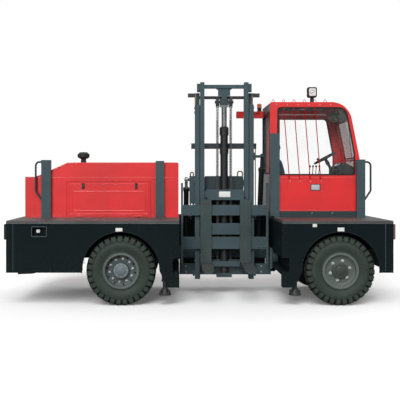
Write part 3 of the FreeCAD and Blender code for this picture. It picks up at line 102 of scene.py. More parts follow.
class Value:
    """A number socket; arithmetic on it adds the Math nodes."""

    def __init__(self, nodes, socket):
        self.nodes = nodes
        self.socket = socket

    def math(self, operation, *others):
        """A Math node with this value first."""
        return self.nodes.number("ShaderNodeMath", {"operation": operation},
                                 dict(enumerate((self, *others))))

    def __add__(self, other):
        return self.math("ADD", other)

    def __mul__(self, other):
        return self.math("MULTIPLY", other)

    def __sub__(self, other):
        return self.math("SUBTRACT", other)

    def __rsub__(self, other):
        return self * -1.0 + other

    def waves(self, scale):
        """Even waves from 0 to 1 along the value."""
        return (self * scale).math("SINE") * 0.5 + 0.5

    def step(self, start, end):
        """0 below start, 1 above end, and straight between; start may be above end."""
        sockets = {"Value": self, "From Min": start, "From Max": end, "To Min": 0.0, "To Max": 1.0}
        return self.nodes.number("ShaderNodeMapRange", {"clamp": True}, sockets, "Result")


class Nodes:
    """Adds linked nodes to a tree, which is emptied first."""

    def __init__(self, tree):
        self.tree = tree
        tree.nodes.clear()

    def feed(self, socket, value):
        """Links a socket to a value or sets it; a colour is made opaque."""
        if isinstance(value, Value):
            value = value.socket
        if isinstance(value, bpy.types.NodeSocket):
            self.tree.links.new(value, socket)
        elif hasattr(value, "__len__") and socket.type == "RGBA":
            socket.default_value = (*value, 1.0)[:4]
        else:
            socket.default_value = value

    def node(self, kind, settings=None, sockets=None):
        """A node: its settings are set first, then the values or links of its sockets."""
        made = self.tree.nodes.new(kind)
        for key, value in (settings or {}).items():
            setattr(made, key, value)
        for key, value in (sockets or {}).items():
            self.feed(made.inputs[key], value)
        return made

    def number(self, kind, settings=None, sockets=None, output=0):
        """A node's output as a Value."""
        return Value(self, self.node(kind, settings, sockets).outputs[output])


class Finish(Nodes):
    """Builds the nodes of one material."""

    def __init__(self, name):
        self.material = bpy.data.materials.new(name)
        self.material.use_nodes = True
        super().__init__(self.material.node_tree)
        self.out = self.node("ShaderNodeOutputMaterial")
        self.place = self.node("ShaderNodeTexCoord").outputs["Object"]
        self.facing = self.node("ShaderNodeTexCoord").outputs["Normal"]

    def noise(self, scale, detail=3.0, stretch=(1, 1, 1)):
        """Cloudy pattern from 0 to 1, with its middle near 0.5; a stretch above 1 squeezes it on that
        axis."""
        place = self.place
        if tuple(stretch) != (1, 1, 1):
            place = self.node("ShaderNodeMapping", None, {"Vector": place, "Scale": stretch}).outputs[0]
        return self.number("ShaderNodeTexNoise", None,
                           {"Vector": place, "Scale": scale, "Detail": detail, "Roughness": 0.55})

    def cells(self, scale):
        """Distance to the nearest scattered point."""
        return self.number("ShaderNodeTexVoronoi", {"feature": "F1"},
                           {"Vector": self.place, "Scale": scale}, "Distance")

    def part(self, axis, vector=None):
        """One coordinate: 0, 1 or 2 for X, Y or Z."""
        sockets = {"Vector": self.place if vector is None else vector}
        return self.number("ShaderNodeSeparateXYZ", None, sockets, axis)

    def mix(self, share, first, second):
        """Colour between two colours."""
        return self.node("ShaderNodeMix", {"data_type": "RGBA"}, {0: share, 6: first, 7: second}).outputs[2]

    def clouded(self, cloud, colour, dark, light):
        """Colour that a cloud makes darker in some places and lighter in others."""
        return self.mix(cloud.step(0.3, 0.7), scaled(colour, dark), scaled(colour, light))

    def dusted(self, share, colour):
        """Colour under a share of dust."""
        return self.mix(share, colour, tuple(bpy.context.scene.sideloader_colours.dust))

    def edges(self, radius):
        """1 on sharp edges and 0 on flats: how far the normal turns within a radius."""
        soft = self.node("ShaderNodeBevel", {"samples": 4}, {"Radius": radius}).outputs[0]
        hard = self.node("ShaderNodeNewGeometry").outputs["Normal"]
        made = self.node("ShaderNodeVectorMath", {"operation": "DOT_PRODUCT"}, {0: soft, 1: hard})
        return Value(self, made.outputs["Value"]).step(0.995, 0.86)

    def bump(self, height, strength, distance):
        """Normal from a height."""
        return self.node("ShaderNodeBump", None,
                         {"Height": height, "Strength": strength, "Distance": distance}).outputs[0]

    def shade(self, **sockets):
        """The main shader: keys are its sockets, with _ for a space."""
        named = {key.replace("_", " "): value for key, value in sockets.items()}
        shader = self.node("ShaderNodeBsdfPrincipled", None, named)
        self.tree.links.new(shader.outputs[0], self.out.inputs["Surface"])
        return self.material


def linear(red, green, blue):
    """Linear colour of three display values from 0 to 255."""
    shares = np.array([red, green, blue]) / 255
    return tuple(float(v)
                 for v in np.where(shares <= 0.04045, shares / 12.92, ((shares + 0.055) / 1.055) ** 2.4))


# ---------------- shapes

def ring_faces(rings, count, wrap=False):
    """Quads between neighbouring rings of count points; wrap joins the last ring to the first."""
    row = np.arange(rings if wrap else rings - 1)[:, None]
    col = np.arange(count)[None, :]
    ahead = (col + 1) % count
    below = (row + 1) % rings
    quads = np.stack([row * count + col, row * count + ahead, below * count + ahead, below * count + col],
                     -1)
    return quads.reshape(-1, 4).tolist()


def tube(rings, wrap=False):
    """Closed surface through rings of points, shape (rings, count, 3); flat ends close it unless it
    wraps."""
    rings = np.asarray(rings, float)
    n, count = rings.shape[:2]
    faces = ring_faces(n, count, wrap)
    if not wrap:
        faces += [list(range(count)), list(range((n - 1) * count, n * count))]
    return rings.reshape(-1, 3), faces


def joined(shapes):
    """One shape from several."""
    points, faces, first = [], [], 0
    for verts, quads in shapes:
        points.append(verts)
        faces += [[i + first for i in face] for face in quads]
        first += len(verts)
    return np.concatenate(points), faces


def repeated(shape, places):
    """The same shape moved to each place."""
    verts, faces = shape
    places = np.asarray(places, float)
    points = (verts[None] + places[:, None]).reshape(-1, 3)
    return points, [[i + k * len(verts) for i in face] for k in range(len(places)) for face in faces]


def axes(normal, up=UP):
    """Right-hand set of unit vectors (along, up, normal) for something that faces along the normal."""
    normal = np.array(normal, float) / np.linalg.norm(normal)
    up = np.array(up, float)
    if abs(normal @ up) > 0.99 * np.linalg.norm(up):
        up = np.array((0.0, 1.0, 0.0)) if abs(normal[2]) > 0.5 else np.array((0.0, 0.0, 1.0))
    along = np.cross(up, normal)
    along /= np.linalg.norm(along)
    return along, np.cross(normal, along), normal


def circle(count, radius=1.0):
    """Points of a regular outline, shape (count, 2): radius times cosine and sine of even angles."""
    angle = np.arange(count) * 2 * np.pi / count
    return radius * np.stack([np.cos(angle), np.sin(angle)], -1)


def rounded(width, height, radius, steps=4):
    """Rectangle outline with quarter-circle corners: each corner's centre plus the radius times an
    arc."""
    turn = np.linspace(0, np.pi / 2, steps + 1)
    arc = radius * np.stack([np.cos(turn), np.sin(turn)], -1)
    half = np.array([width / 2 - radius, height / 2 - radius])
    signs = ((1, 1), (-1, 1), (-1, -1), (1, -1))
    spins = ((1, 0, 0, 1), (0, -1, 1, 0), (-1, 0, 0, -1), (0, 1, -1, 0))
    corners = [arc @ np.array(s).reshape(2, 2).T + half * sign for s, sign in zip(spins, signs)]
    return np.concatenate(corners)


def boss(centre, normal, outline, levels, up=UP):
    """Outline times a scale, lifted along the normal: one ring for each level (height, scale), closed
    by flat ends."""
    along, upward, out = axes(normal, up)
    levels = np.asarray(levels, float)
    flat = outline[:, :1] * along + outline[:, 1:] * upward
    rings = np.asarray(centre, float) + levels[:, 1, None, None] * flat + levels[:, 0, None, None] * out
    return tube(rings)


def plate(centre, normal, width, height, thick, radius=0.004, edge=0.001, up=UP):
    """Thin plate with round corners and a small chamfer, standing on a surface."""
    outline = rounded(width, height, min(radius, width / 2.01, height / 2.01))
    shrink = 1 - 2 * edge / min(width, height)
    return boss(centre, normal, outline, [(-0.001, 1), (thick - edge, 1), (thick, shrink)], up)


def bolt(centre, normal, size):
    """Hexagon bolt head on a washer: a round level pair under a six-sided one, in one shell of 12-point
    rings."""
    washer = circle(12, size * 0.72)
    hexagon = np.repeat(circle(6, size * 0.577), 2, axis=0)
    hexagon[1::2] = (hexagon[0::2] + np.roll(hexagon, -2, axis=0)[0::2]) / 2
    along, upward, out = axes(normal)
    rings = []
    for flat, height in ((washer, -0.001), (washer, size * 0.12), (hexagon, size * 0.13),
                         (hexagon, size * 0.6), (hexagon * 0.86, size * 0.7)):
        rings.append(np.asarray(centre) + flat[:, :1] * along + flat[:, 1:] * upward + out * height)
    return tube(rings)


def bolts(places, normal, size):
    """A bolt head at each place."""
    return repeated(bolt((0, 0, 0), normal, size), places)


def lathe(centre, axis, profile, count):
    """Profile of (distance along the axis, radius) turned about the axis: centre + axis * a + radial *
    r."""
    return boss(centre, axis, circle(count), [(a, max(r, 1e-5)) for a, r in profile])


def collar(centre, axis, inner, outer, bevel, height, count):
    """Band from an inner radius up to an outer one, with bevelled edges."""
    return lathe(centre, axis, [(0, inner), (bevel, outer), (height - bevel, outer), (height, inner)],
                 count)


def oval_ring(centre, axis, at, size, sides=8, count=48):
    """Ring with an oval section about the axis. The section's middle is at (distance along the axis,
    radius), and its size is half its extent on those two, or one number for both."""
    along, upward, out = axes(axis)
    flat = circle(count)
    around = flat[:, :1] * along + flat[:, 1:] * upward
    section = np.array(at) + circle(sides) * size
    rings = np.asarray(centre, float) + section[:, 1, None, None] * around + section[:, 0, None, None] * out
    return tube(rings, True)


def smooth_path(points, radius, steps, closed=True):
    """Corners of a path rounded by quadratic curves: (1-t)^2 start + 2t(1-t) corner + t^2 end."""
    points = np.asarray(points, float)
    count = len(points)
    t = np.linspace(0, 1, steps + 1)[:, None]
    pieces = []
    for i in range(count):
        if not closed and i in (0, count - 1):
            pieces.append(points[i:i + 1])
            continue
        here, before, after = points[i], points[i - 1], points[(i + 1) % count]
        size = radius[i] if hasattr(radius, "__len__") else radius
        start = here + (before - here) * min(0.49, size / np.linalg.norm(before - here))
        end = here + (after - here) * min(0.49, size / np.linalg.norm(after - here))
        pieces.append((1 - t) ** 2 * start + 2 * t * (1 - t) * here + t ** 2 * end)
    return np.concatenate(pieces)


def sweep(path, profile, facing, closed=False):
    """Profile carried along a path: path point + profile x * side + profile y * facing, where side is
    square to the path and to the facing direction. At a corner the side is lengthened so that widths
    stay even."""
    path = np.asarray(path, float)
    facing = np.asarray(facing, float)
    if closed:
        back = path - np.roll(path, 1, axis=0)
        ahead = np.roll(path, -1, axis=0) - path
    else:
        ahead = np.diff(path, axis=0, append=path[-1:] * 2 - path[-2:-1])
        back = np.diff(path, axis=0, prepend=path[:1] * 2 - path[1:2])
    back /= np.linalg.norm(back, axis=1, keepdims=True)
    ahead /= np.linalg.norm(ahead, axis=1, keepdims=True)
    tangent = back + ahead
    tangent /= np.linalg.norm(tangent, axis=1, keepdims=True)
    side = np.cross(tangent, facing)
    side /= np.linalg.norm(side, axis=1, keepdims=True)
    stretch = 1 / np.clip(np.sum(tangent * ahead, axis=1), 0.5, 1)
    side *= stretch[:, None]
    front = np.cross(side, tangent)
    front /= np.linalg.norm(front, axis=1, keepdims=True)
    profile = np.asarray(profile, float)
    rings = path[:, None] + profile[None, :, :1] * side[:, None] + profile[None, :, 1:] * front[:, None]
    return tube(rings, closed)


def cable(points, radius, bend=0.04, count=10):
    """Round bar along an open path with rounded corners. Its section is turned by the axis along which
    the path spreads least."""
    path = smooth_path(points, bend, 6, False)
    spread = path.max(0) - path.min(0)
    facing = np.eye(3)[int(np.argmin(spread))] + np.array((0.013, 0.017, 0.011))
    return sweep(path, circle(count, radius), facing)


def piece(name, shape, finish, body="chassis", smooth=True):
    """Object from a shape or a list of them, with outward faces. It rides on a body and is painted with
    a finish."""
    points, faces = joined(shape) if isinstance(shape, list) else shape
    mesh = bpy.data.meshes.new(name)
    mesh.from_pydata(points.tolist(), [], faces)
    made = bmesh.new()
    made.from_mesh(mesh)
    bmesh.ops.recalc_face_normals(made, faces=made.faces)
    made.to_mesh(mesh)
    made.free()
    if smooth:
        mesh.shade_smooth()
        mesh.set_sharp_from_angle(angle=SHARP)
    mesh.materials.append(FINISHES[finish])
    obj = bpy.data.objects.new(name, mesh)
    bpy.context.scene.collection.objects.link(obj)
    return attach(obj, body)


# ---------------- settings

def colour_setting(name, description, value):
    """A colour that a user may change."""
    return bpy.props.FloatVectorProperty(name=name, description=description, default=value, subtype="COLOR",
                                         min=0.0, max=1.0)


def share_setting(name, description, value):
    """A share from 0 to 1 that a user may change."""
    return bpy.props.FloatProperty(name=name, description=description, default=value, min=0.0, max=1.0,
                                   subtype="FACTOR")


def length_setting(name, description, value):
    """A length in metres that a user may change."""
    return bpy.props.FloatProperty(name=name, description=description, default=value, min=0.0,
                                   unit="LENGTH")


def strength_setting(name, description, value):
    """A light's strength that a user may change."""
    return bpy.props.FloatProperty(name=name, description=description, default=value, min=0.0)


class SIDELOADER_PG_colours(bpy.types.PropertyGroup):
    """Paints and plain materials."""
    cover: colour_setting("Cover paint", "Engine cover, cab and doors", linear(216, 27, 31))
    frame: colour_setting("Frame paint", "Chassis side plates", linear(8, 21, 24))
    slate: colour_setting("Mast paint", "Mast, posts and carriage", linear(58, 76, 81))
    deck: colour_setting("Deck", "Worn deck plate", linear(66, 66, 67))
    rubber: colour_setting("Rubber", "Tyres", linear(36, 46, 43))
    rear_rim: colour_setting("Rear rims", "Paint of the rear rims", linear(70, 80, 80))
    front_rim: colour_setting("Front rims", "Paint of the front rims", linear(80, 90, 84))
    iron: colour_setting("Castings", "Axles and engine", linear(46, 52, 52))
    hub: colour_setting("Hubs", "Hub covers of the rear wheels", linear(96, 108, 114))
    fork: colour_setting("Forks", "Rubbed fork steel", linear(46, 62, 62))
    plastic: colour_setting("Black plastic", "Dash, gaskets and small trim", linear(28, 30, 32))
    steel: colour_setting("Dark steel", "Cylinders, sheaves, jacks and chains", linear(40, 50, 52))
    cloth: colour_setting("Seat cloth", "Seat cushion and backrest", linear(50, 62, 82))
    hose: colour_setting("Hoses", "Hydraulic hoses", linear(128, 116, 88))
    amber: colour_setting("Amber", "Beacon lens", linear(196, 92, 40))
    lamp: colour_setting("Tail lens", "Lenses of the end lamps", linear(132, 52, 40))
    label: colour_setting("Label", "Blank labels", linear(222, 222, 218))
    dust: colour_setting("Dust", "Dust and dried mud", linear(120, 112, 100))


class SIDELOADER_PG_wear(bpy.types.PropertyGroup):
    """How used the truck looks."""
    dust: share_setting("Dust", "Dust on upper faces and low down", 0.45)
    chips: share_setting("Chips", "Paint worn off along the edges", 0.6)
    edge: length_setting("Edge", "Width of the worn band along an edge", 0.006)


class SIDELOADER_PG_tyre(bpy.types.PropertyGroup):
    """Tread of the tyres."""
    lugs: bpy.props.IntProperty(name="Lugs", description="Lugs round each side of a tyre", default=31,
                                min=8, max=60)
    groove: length_setting("Groove", "Depth of the grooves between lugs", 0.034)
    notch: share_setting("Notch", "Share of the pitch that a groove takes", 0.34)


class SIDELOADER_PG_fittings(bpy.types.PropertyGroup):
    """Sizes of small fittings."""
    bolt: length_setting("Bolt", "Size across the flats of a frame bolt", 0.019)
    small_bolt: length_setting("Small bolt", "Size across the flats of a panel bolt", 0.013)
    gasket: length_setting("Gasket", "Width of the window rubber", 0.024)
    pitch: length_setting("Chain pitch", "Distance between the pins of the lift chains", 0.0254)


class SIDELOADER_PG_stage(bpy.types.PropertyGroup):
    """Camera and light."""
    lens: bpy.props.FloatProperty(name="Lens", description="Focal length in millimetres", default=75.84,
                                  min=10.0)
    distance: length_setting("Distance", "From the camera to the loading side", 12.0)
    eye: length_setting("Eye height", "Height of the camera", 1.811)
    key: strength_setting("Key light", "Strength of the front lamp", 1.25)
    top: strength_setting("Top light", "Strength of the overhead lamp", 1.5)
    world: strength_setting("World", "Strength of the light all round", 0.33)
    rear: strength_setting("Rear light", "Strength of the rear lamp; the flank lamp has 0.7 of it", 0.4)
    lift: share_setting("Floor lift", "Share of plain white added to the floor", 0.08)


# ---------------- finishes

def weathered(finish, dusty, chips):
    """Clouds, a finer pattern, dust and bare edges. Dust lies on upper faces, low down and in streaks."""
    wear = bpy.context.scene.sideloader_wear
    cloud = finish.noise(1.7, 4.0)
    fine = finish.noise(34.0, 4.0)
    streaks = finish.noise(11.0, 3.0, (1, 1, 0.1))
    upper = finish.part(2, finish.facing).step(0.4, 0.95) * cloud.step(0.3, 0.75)
    foot = finish.part(2).step(1.15, 0.2) * fine.step(0.35, 0.72)
    dust = (upper * 0.7 + foot * 0.55 + streaks.step(0.6, 0.8) * 0.14) * (wear.dust * dusty)
    bare = finish.edges(wear.edge) * finish.noise(70.0, 5.0).step(0.44, 0.6) * (wear.chips * chips)
    return cloud, fine, dust, bare


def scaled(colour, factor):
    """Colour made lighter or darker."""
    return tuple(min(1.0, c * factor) for c in colour)


def rear_wall_shade(finish):
    """Painted shade on the cab's rear wall, which faces the engine, and on the near face of its far pillar.
    """
    wall = low("cab_base")[0]
    outer = finish.part(0, finish.facing).step(-0.5, -0.8) * finish.part(0).step(wall - 0.06, wall - 0.04)
    inner = finish.part(1, finish.facing).step(-0.5, -0.8) * finish.part(0).step(wall + 0.085, wall + 0.075)
    return outer + inner * finish.part(1).step(0.85, 0.9) * finish.part(0).step(wall - 0.012, wall - 0.004)


def rear_tie_shade(finish):
    """Painted shade on the ties behind the mast's columns."""
    rear = high("outer_mast")[1]
    return finish.part(1).step(rear - 0.068, rear - 0.064) * 0.55


def painted(name, colour, bare_colour, rough, dusty=1.0, chips=1.0, coat=0.0, specular=0.3, painted_shade=None):
    """Paint with cloudy tone, dust, worn edges, the fine skin of sprayed paint, and, where a mask is
    given, painted shade that darkens the paint and takes away its coat."""
    finish = Finish(name)
    cloud, fine, dust, bare = weathered(finish, dusty, chips)
    tone = finish.clouded(cloud, colour, 0.86, 1.12)
    scuffs = finish.noise(16.0, 5.0, (0.15, 1, 1)).step(0.66, 0.74) * 0.3
    tone = finish.mix(scuffs, tone, scaled(colour, 1.5))
    tone = finish.dusted(dust, tone)
    tone = finish.mix(bare, tone, bare_colour)
    # Painted shade: the mask mixes the paint towards dark grey and takes away its coat.
    if painted_shade:
        share = painted_shade(finish)
        tone = finish.mix(share, tone, linear(34, 34, 34))
        coat = (1 - share) * coat
    skin = finish.noise(420.0, 2.0) * 0.3 + finish.noise(7.0, 2.0) * 2.0
    return finish.shade(Base_Color=tone, Roughness=dust * 0.4 + fine * 0.12 + bare * 0.2 + rough,
                        Metallic=bare * 0.5, Coat_Weight=coat, Coat_Roughness=0.12,
                        Specular_IOR_Level=specular, Normal=finish.bump(skin, 0.12, 0.0006))


def deck_finish(name, colour):
    """Worn plate with rolled lozenges, scratches that run along the truck and trodden dust."""
    finish = Finish(name)
    cloud, fine, dust, bare = weathered(finish, 0.5, 1.0)
    x, y = finish.part(0), finish.part(1)
    one = ((x + y) * 150.0).math("SINE")
    two = ((x - y) * 150.0).math("SINE")
    studs = (one * two).step(0.35, 0.75) * finish.part(2, finish.facing).step(0.7, 0.9)
    scratches = finish.noise(26.0, 6.0, (0.06, 1, 1)).step(0.56, 0.7)
    tone = finish.clouded(cloud, colour, 0.7, 1.25)
    tone = finish.mix(scratches * 0.45 + studs * 0.25, tone, scaled(colour, 2.6))
    tone = finish.dusted(dust, tone)
    tone = finish.mix(bare, tone, scaled(colour, 3.5))
    return finish.shade(Base_Color=tone, Roughness=fine * 0.2 + dust * 0.3 - studs * 0.1 + 0.38,
                        Metallic=studs * 0.2 + 0.2,
                        Normal=finish.bump(studs * 1.0 + scratches * -0.15 + finish.noise(300.0) * 0.1, 0.6,
                                           0.0015))


def rubber_finish(name, colour):
    """Tyre rubber: dark lugs, dustier olive walls, dirt low down, and grooves darkened as painted shade."""
    finish = Finish(name)
    cloud = finish.noise(5.0, 4.0)
    fine = finish.noise(60.0, 4.0)
    wall = finish.part(1, finish.facing).math("ABSOLUTE").step(0.6, 0.95)
    tone = finish.clouded(cloud, colour, 0.8, 1.35)
    dirt = linear(84, 92, 78)
    tone = finish.mix(wall * fine.step(0.25, 0.8) * 0.3, tone, dirt)
    tone = finish.mix(finish.part(2).step(0.25, 0.0) * fine.step(0.4, 0.7) * 0.35, tone, dirt)
    # The groove attribute darkens the rubber in the grooves: painted shade.
    groove_and_shade = finish.number("ShaderNodeAttribute", {"attribute_name": "groove_and_shade"}, None, 2)
    tone = finish.mix(groove_and_shade * 0.85, tone, scaled(colour, 0.2))
    grain = fine * 0.5 + finish.noise(500.0, 2.0) * 0.5
    return finish.shade(Base_Color=tone, Roughness=fine * 0.2 + 0.55, Specular_IOR_Level=0.25,
                        Normal=finish.bump(grain, 0.35, 0.0015))


def cast_finish(name, colour):
    """Rough casting with dark oily patches, rusty patches and dust."""
    finish = Finish(name)
    cloud, fine, dust, bare = weathered(finish, 1.0, 0.7)
    tone = finish.mix(fine.step(0.35, 0.7), scaled(colour, 0.55), scaled(colour, 1.25))
    tone = finish.mix(finish.noise(8.0, 5.0).step(0.56, 0.7) * 0.5, tone, linear(88, 58, 40))
    tone = finish.dusted(dust, tone)
    grit = finish.noise(180.0, 4.0) + finish.cells(90.0) * 0.6
    return finish.shade(Base_Color=tone, Roughness=cloud * 0.3 + fine * 0.2 + 0.35,
                        Metallic=bare * 0.5 + 0.3, Normal=finish.bump(grit, 0.55, 0.0015))


def steel_finish(name, colour, rough, metallic):
    """Dark steel with rubbed bright streaks, rust specks and a fine grain."""
    finish = Finish(name)
    cloud, fine, dust, bare = weathered(finish, 0.8, 1.0)
    rubbed = finish.noise(22.0, 5.0, (1, 0.12, 0.12)).step(0.55, 0.75)
    rust = finish.noise(13.0, 6.0).step(0.6, 0.72) * 0.4
    tone = finish.clouded(cloud, colour, 0.75, 1.3)
    tone = finish.mix(rubbed * 0.4, tone, scaled(colour, 2.2))
    tone = finish.mix(rust, tone, linear(84, 56, 42))
    tone = finish.mix(bare, tone, linear(150, 150, 148))
    tone = finish.dusted(dust, tone)
    return finish.shade(Base_Color=tone, Roughness=fine * 0.2 + rust * 0.6 + rough, Metallic=metallic,
                        Normal=finish.bump(finish.noise(240.0, 3.0) + rust * 2.0, 0.2, 0.001))


def polished_finish(name):
    """Chromed rod with faint rings and an oil film."""
    finish = Finish(name)
    film = finish.noise(9.0, 4.0)
    rings = finish.noise(400.0, 2.0, (0.02, 0.02, 1))
    tone = finish.mix(film.step(0.35, 0.7), linear(196, 200, 204), linear(158, 158, 152))
    return finish.shade(Base_Color=tone, Metallic=1.0, Roughness=film * 0.12 + rings * 0.06 + 0.07,
                        Normal=finish.bump(rings, 0.06, 0.0005))


def headed_rod_finish(name, colour, foot):
    """Chromed rod whose painted head begins above a height."""
    finish = Finish(name)
    film = finish.noise(9.0, 4.0)
    rings = finish.noise(400.0, 2.0, (0.02, 0.02, 1))
    head = finish.part(2).step(foot, foot + 0.004)
    bright = finish.mix(film.step(0.35, 0.7), linear(170, 174, 176), linear(120, 124, 124))
    paint = finish.mix(finish.noise(16.0, 4.0).step(0.3, 0.7), scaled(colour, 0.6), scaled(colour, 1.2))
    return finish.shade(Base_Color=finish.mix(head, bright, paint), Metallic=1 - head,
                        Roughness=film * 0.12 + head * 0.35 + 0.1, Specular_IOR_Level=0.3,
                        Normal=finish.bump(rings, 0.08, 0.0005))


def eyed_rod_finish(name, colour, near):
    """Dull grey rod whose eye, on the loading side of a place, is painted."""
    finish = Finish(name)
    film = finish.noise(14.0, 4.0)
    eye = finish.part(1).step(near + 0.004, near)
    bright = finish.mix(film.step(0.35, 0.7), linear(150, 154, 154), linear(104, 110, 110))
    paint = finish.mix(film, scaled(colour, 0.6), scaled(colour, 1.4))
    return finish.shade(Base_Color=finish.mix(eye, bright, paint), Metallic=0.4 - eye * 0.4,
                        Roughness=film * 0.2 + eye * 0.2 + 0.25, Specular_IOR_Level=0.3,
                        Normal=finish.bump(film, 0.08, 0.0005))


def housing_finish(name, lens, body):
    """Lamp housings: coloured mouldings at the front end, black ones at the rear end."""
    finish = Finish(name)
    cloud = finish.noise(24.0, 3.0)
    lines = finish.part(2).waves(380.0)
    front = finish.part(0).step(-0.01, 0.01)
    tone = finish.mix(cloud.step(0.3, 0.7) * 0.6 + lines * front * 0.4, scaled(lens, 0.7),
                      scaled(lens, 1.2))
    dark = finish.mix(cloud, scaled(body, 0.7), scaled(body, 1.3))
    return finish.shade(Base_Color=finish.mix(front, dark, tone), Roughness=cloud * 0.2 + 0.25,
                        Specular_IOR_Level=0.3, Normal=finish.bump(lines * front + cloud, 0.2, 0.001))


def plastic_finish(name, colour, rough, grain):
    """Moulded plastic with a leather-like grain, uneven shine, rubbed edges and dust."""
    finish = Finish(name)
    cloud, fine, dust, bare = weathered(finish, 0.7, 0.35)
    tone = finish.clouded(cloud, colour, 0.8, 1.3)
    tone = finish.mix(bare, tone, scaled(colour, 3.0))
    tone = finish.dusted(dust, tone)
    return finish.shade(Base_Color=tone, Roughness=fine * 0.18 + dust * 0.3 + rough,
                        Specular_IOR_Level=0.35,
                        Normal=finish.bump(finish.cells(420.0) + finish.noise(700.0), grain, 0.0008))


def glass_finish(name):
    """Clear pane: see-through, with a gloss that grows at a slant, smears and dust specks. The
    windscreen is tinted, which shows most at a slant."""
    finish = Finish(name)
    smear = finish.noise(6.0, 5.0, (1, 1, 0.4))
    specks = finish.noise(90.0, 3.0).step(0.66, 0.74)
    film = smear.step(0.45, 0.75) * 0.035 + specks * 0.05
    screen = finish.part(0, finish.facing).math("ABSOLUTE").step(0.6, 0.8) * finish.part(0).step(2.0, 2.1)
    slant = finish.number("ShaderNodeLayerWeight", None, {"Blend": 0.5}, 1)
    tone = finish.mix(film * 6.0, linear(170, 190, 188), linear(214, 214, 208))
    tone = finish.mix(screen, tone, finish.mix(smear, linear(140, 62, 52), linear(120, 60, 84)))
    return finish.shade(Base_Color=tone, Roughness=film * 1.5 + 0.02, Specular_IOR_Level=0.5,
                        Alpha=film + slant * slant * (screen * 0.75 + 0.08) + 0.015)


def lens_finish(name, colour, ribs):
    """Moulded lens: clear gloss over a ribbed and slightly cloudy body."""
    finish = Finish(name)
    cloud = finish.noise(24.0, 3.0)
    lines = finish.part(2).waves(ribs)
    tone = finish.mix(cloud.step(0.3, 0.7) * 0.6 + lines * 0.4, scaled(colour, 0.7), scaled(colour, 1.35))
    return finish.shade(Base_Color=tone, Roughness=cloud * 0.1 + 0.12, Coat_Weight=0.5, Coat_Roughness=0.05,
                        Normal=finish.bump(lines, 0.3, 0.001))


def cloth_finish(name, colour):
    """Woven seat cloth: crossing threads, worn lighter in patches, with a soft sheen."""
    finish = Finish(name)
    cloud = finish.noise(14.0, 4.0)
    warp = (finish.part(1) * 1900.0).math("SINE")
    weft = ((finish.part(0) + finish.part(2)) * 1900.0).math("SINE")
    weave = (warp * weft) * 0.5 + 0.5
    tone = finish.mix(weave, scaled(colour, 0.65), scaled(colour, 1.25))
    tone = finish.mix(cloud.step(0.45, 0.75) * 0.3, tone, scaled(colour, 2.0))
    return finish.shade(Base_Color=tone, Roughness=cloud * 0.15 + 0.78, Sheen_Weight=0.3,
                        Sheen_Roughness=0.5,
                        Normal=finish.bump(weave + finish.noise(300.0) * 0.6, 0.5, 0.0008))


def hose_finish(name, colour):
    """Hose cover: cloth-wrapped rubber with fine slanting threads and handling marks."""
    finish = Finish(name)
    cloud = finish.noise(20.0, 4.0)
    threads = (finish.part(0) + finish.part(1) + finish.part(2)).waves(1300.0)
    tone = finish.clouded(cloud, colour, 0.6, 1.2)
    tone = finish.mix(finish.noise(60.0, 4.0).step(0.6, 0.72) * 0.4, tone, scaled(colour, 0.3))
    return finish.shade(Base_Color=tone, Roughness=cloud * 0.2 + 0.5,
                        Normal=finish.bump(threads + cloud, 0.3, 0.0008))


def label_finish(name, colour):
    """Blank sticker or plate with a cloudy tone and dark scuffs."""
    finish = Finish(name)
    cloud = finish.noise(30.0, 4.0)
    tone = finish.mix(cloud.step(0.35, 0.7), scaled(colour, 0.85), colour)
    tone = finish.mix(finish.noise(90.0, 5.0).step(0.64, 0.72) * 0.5, tone, scaled(colour, 0.4))
    return finish.shade(Base_Color=tone, Roughness=cloud * 0.15 + 0.35,
                        Normal=finish.bump(cloud, 0.1, 0.0005))


FINISHES = {}


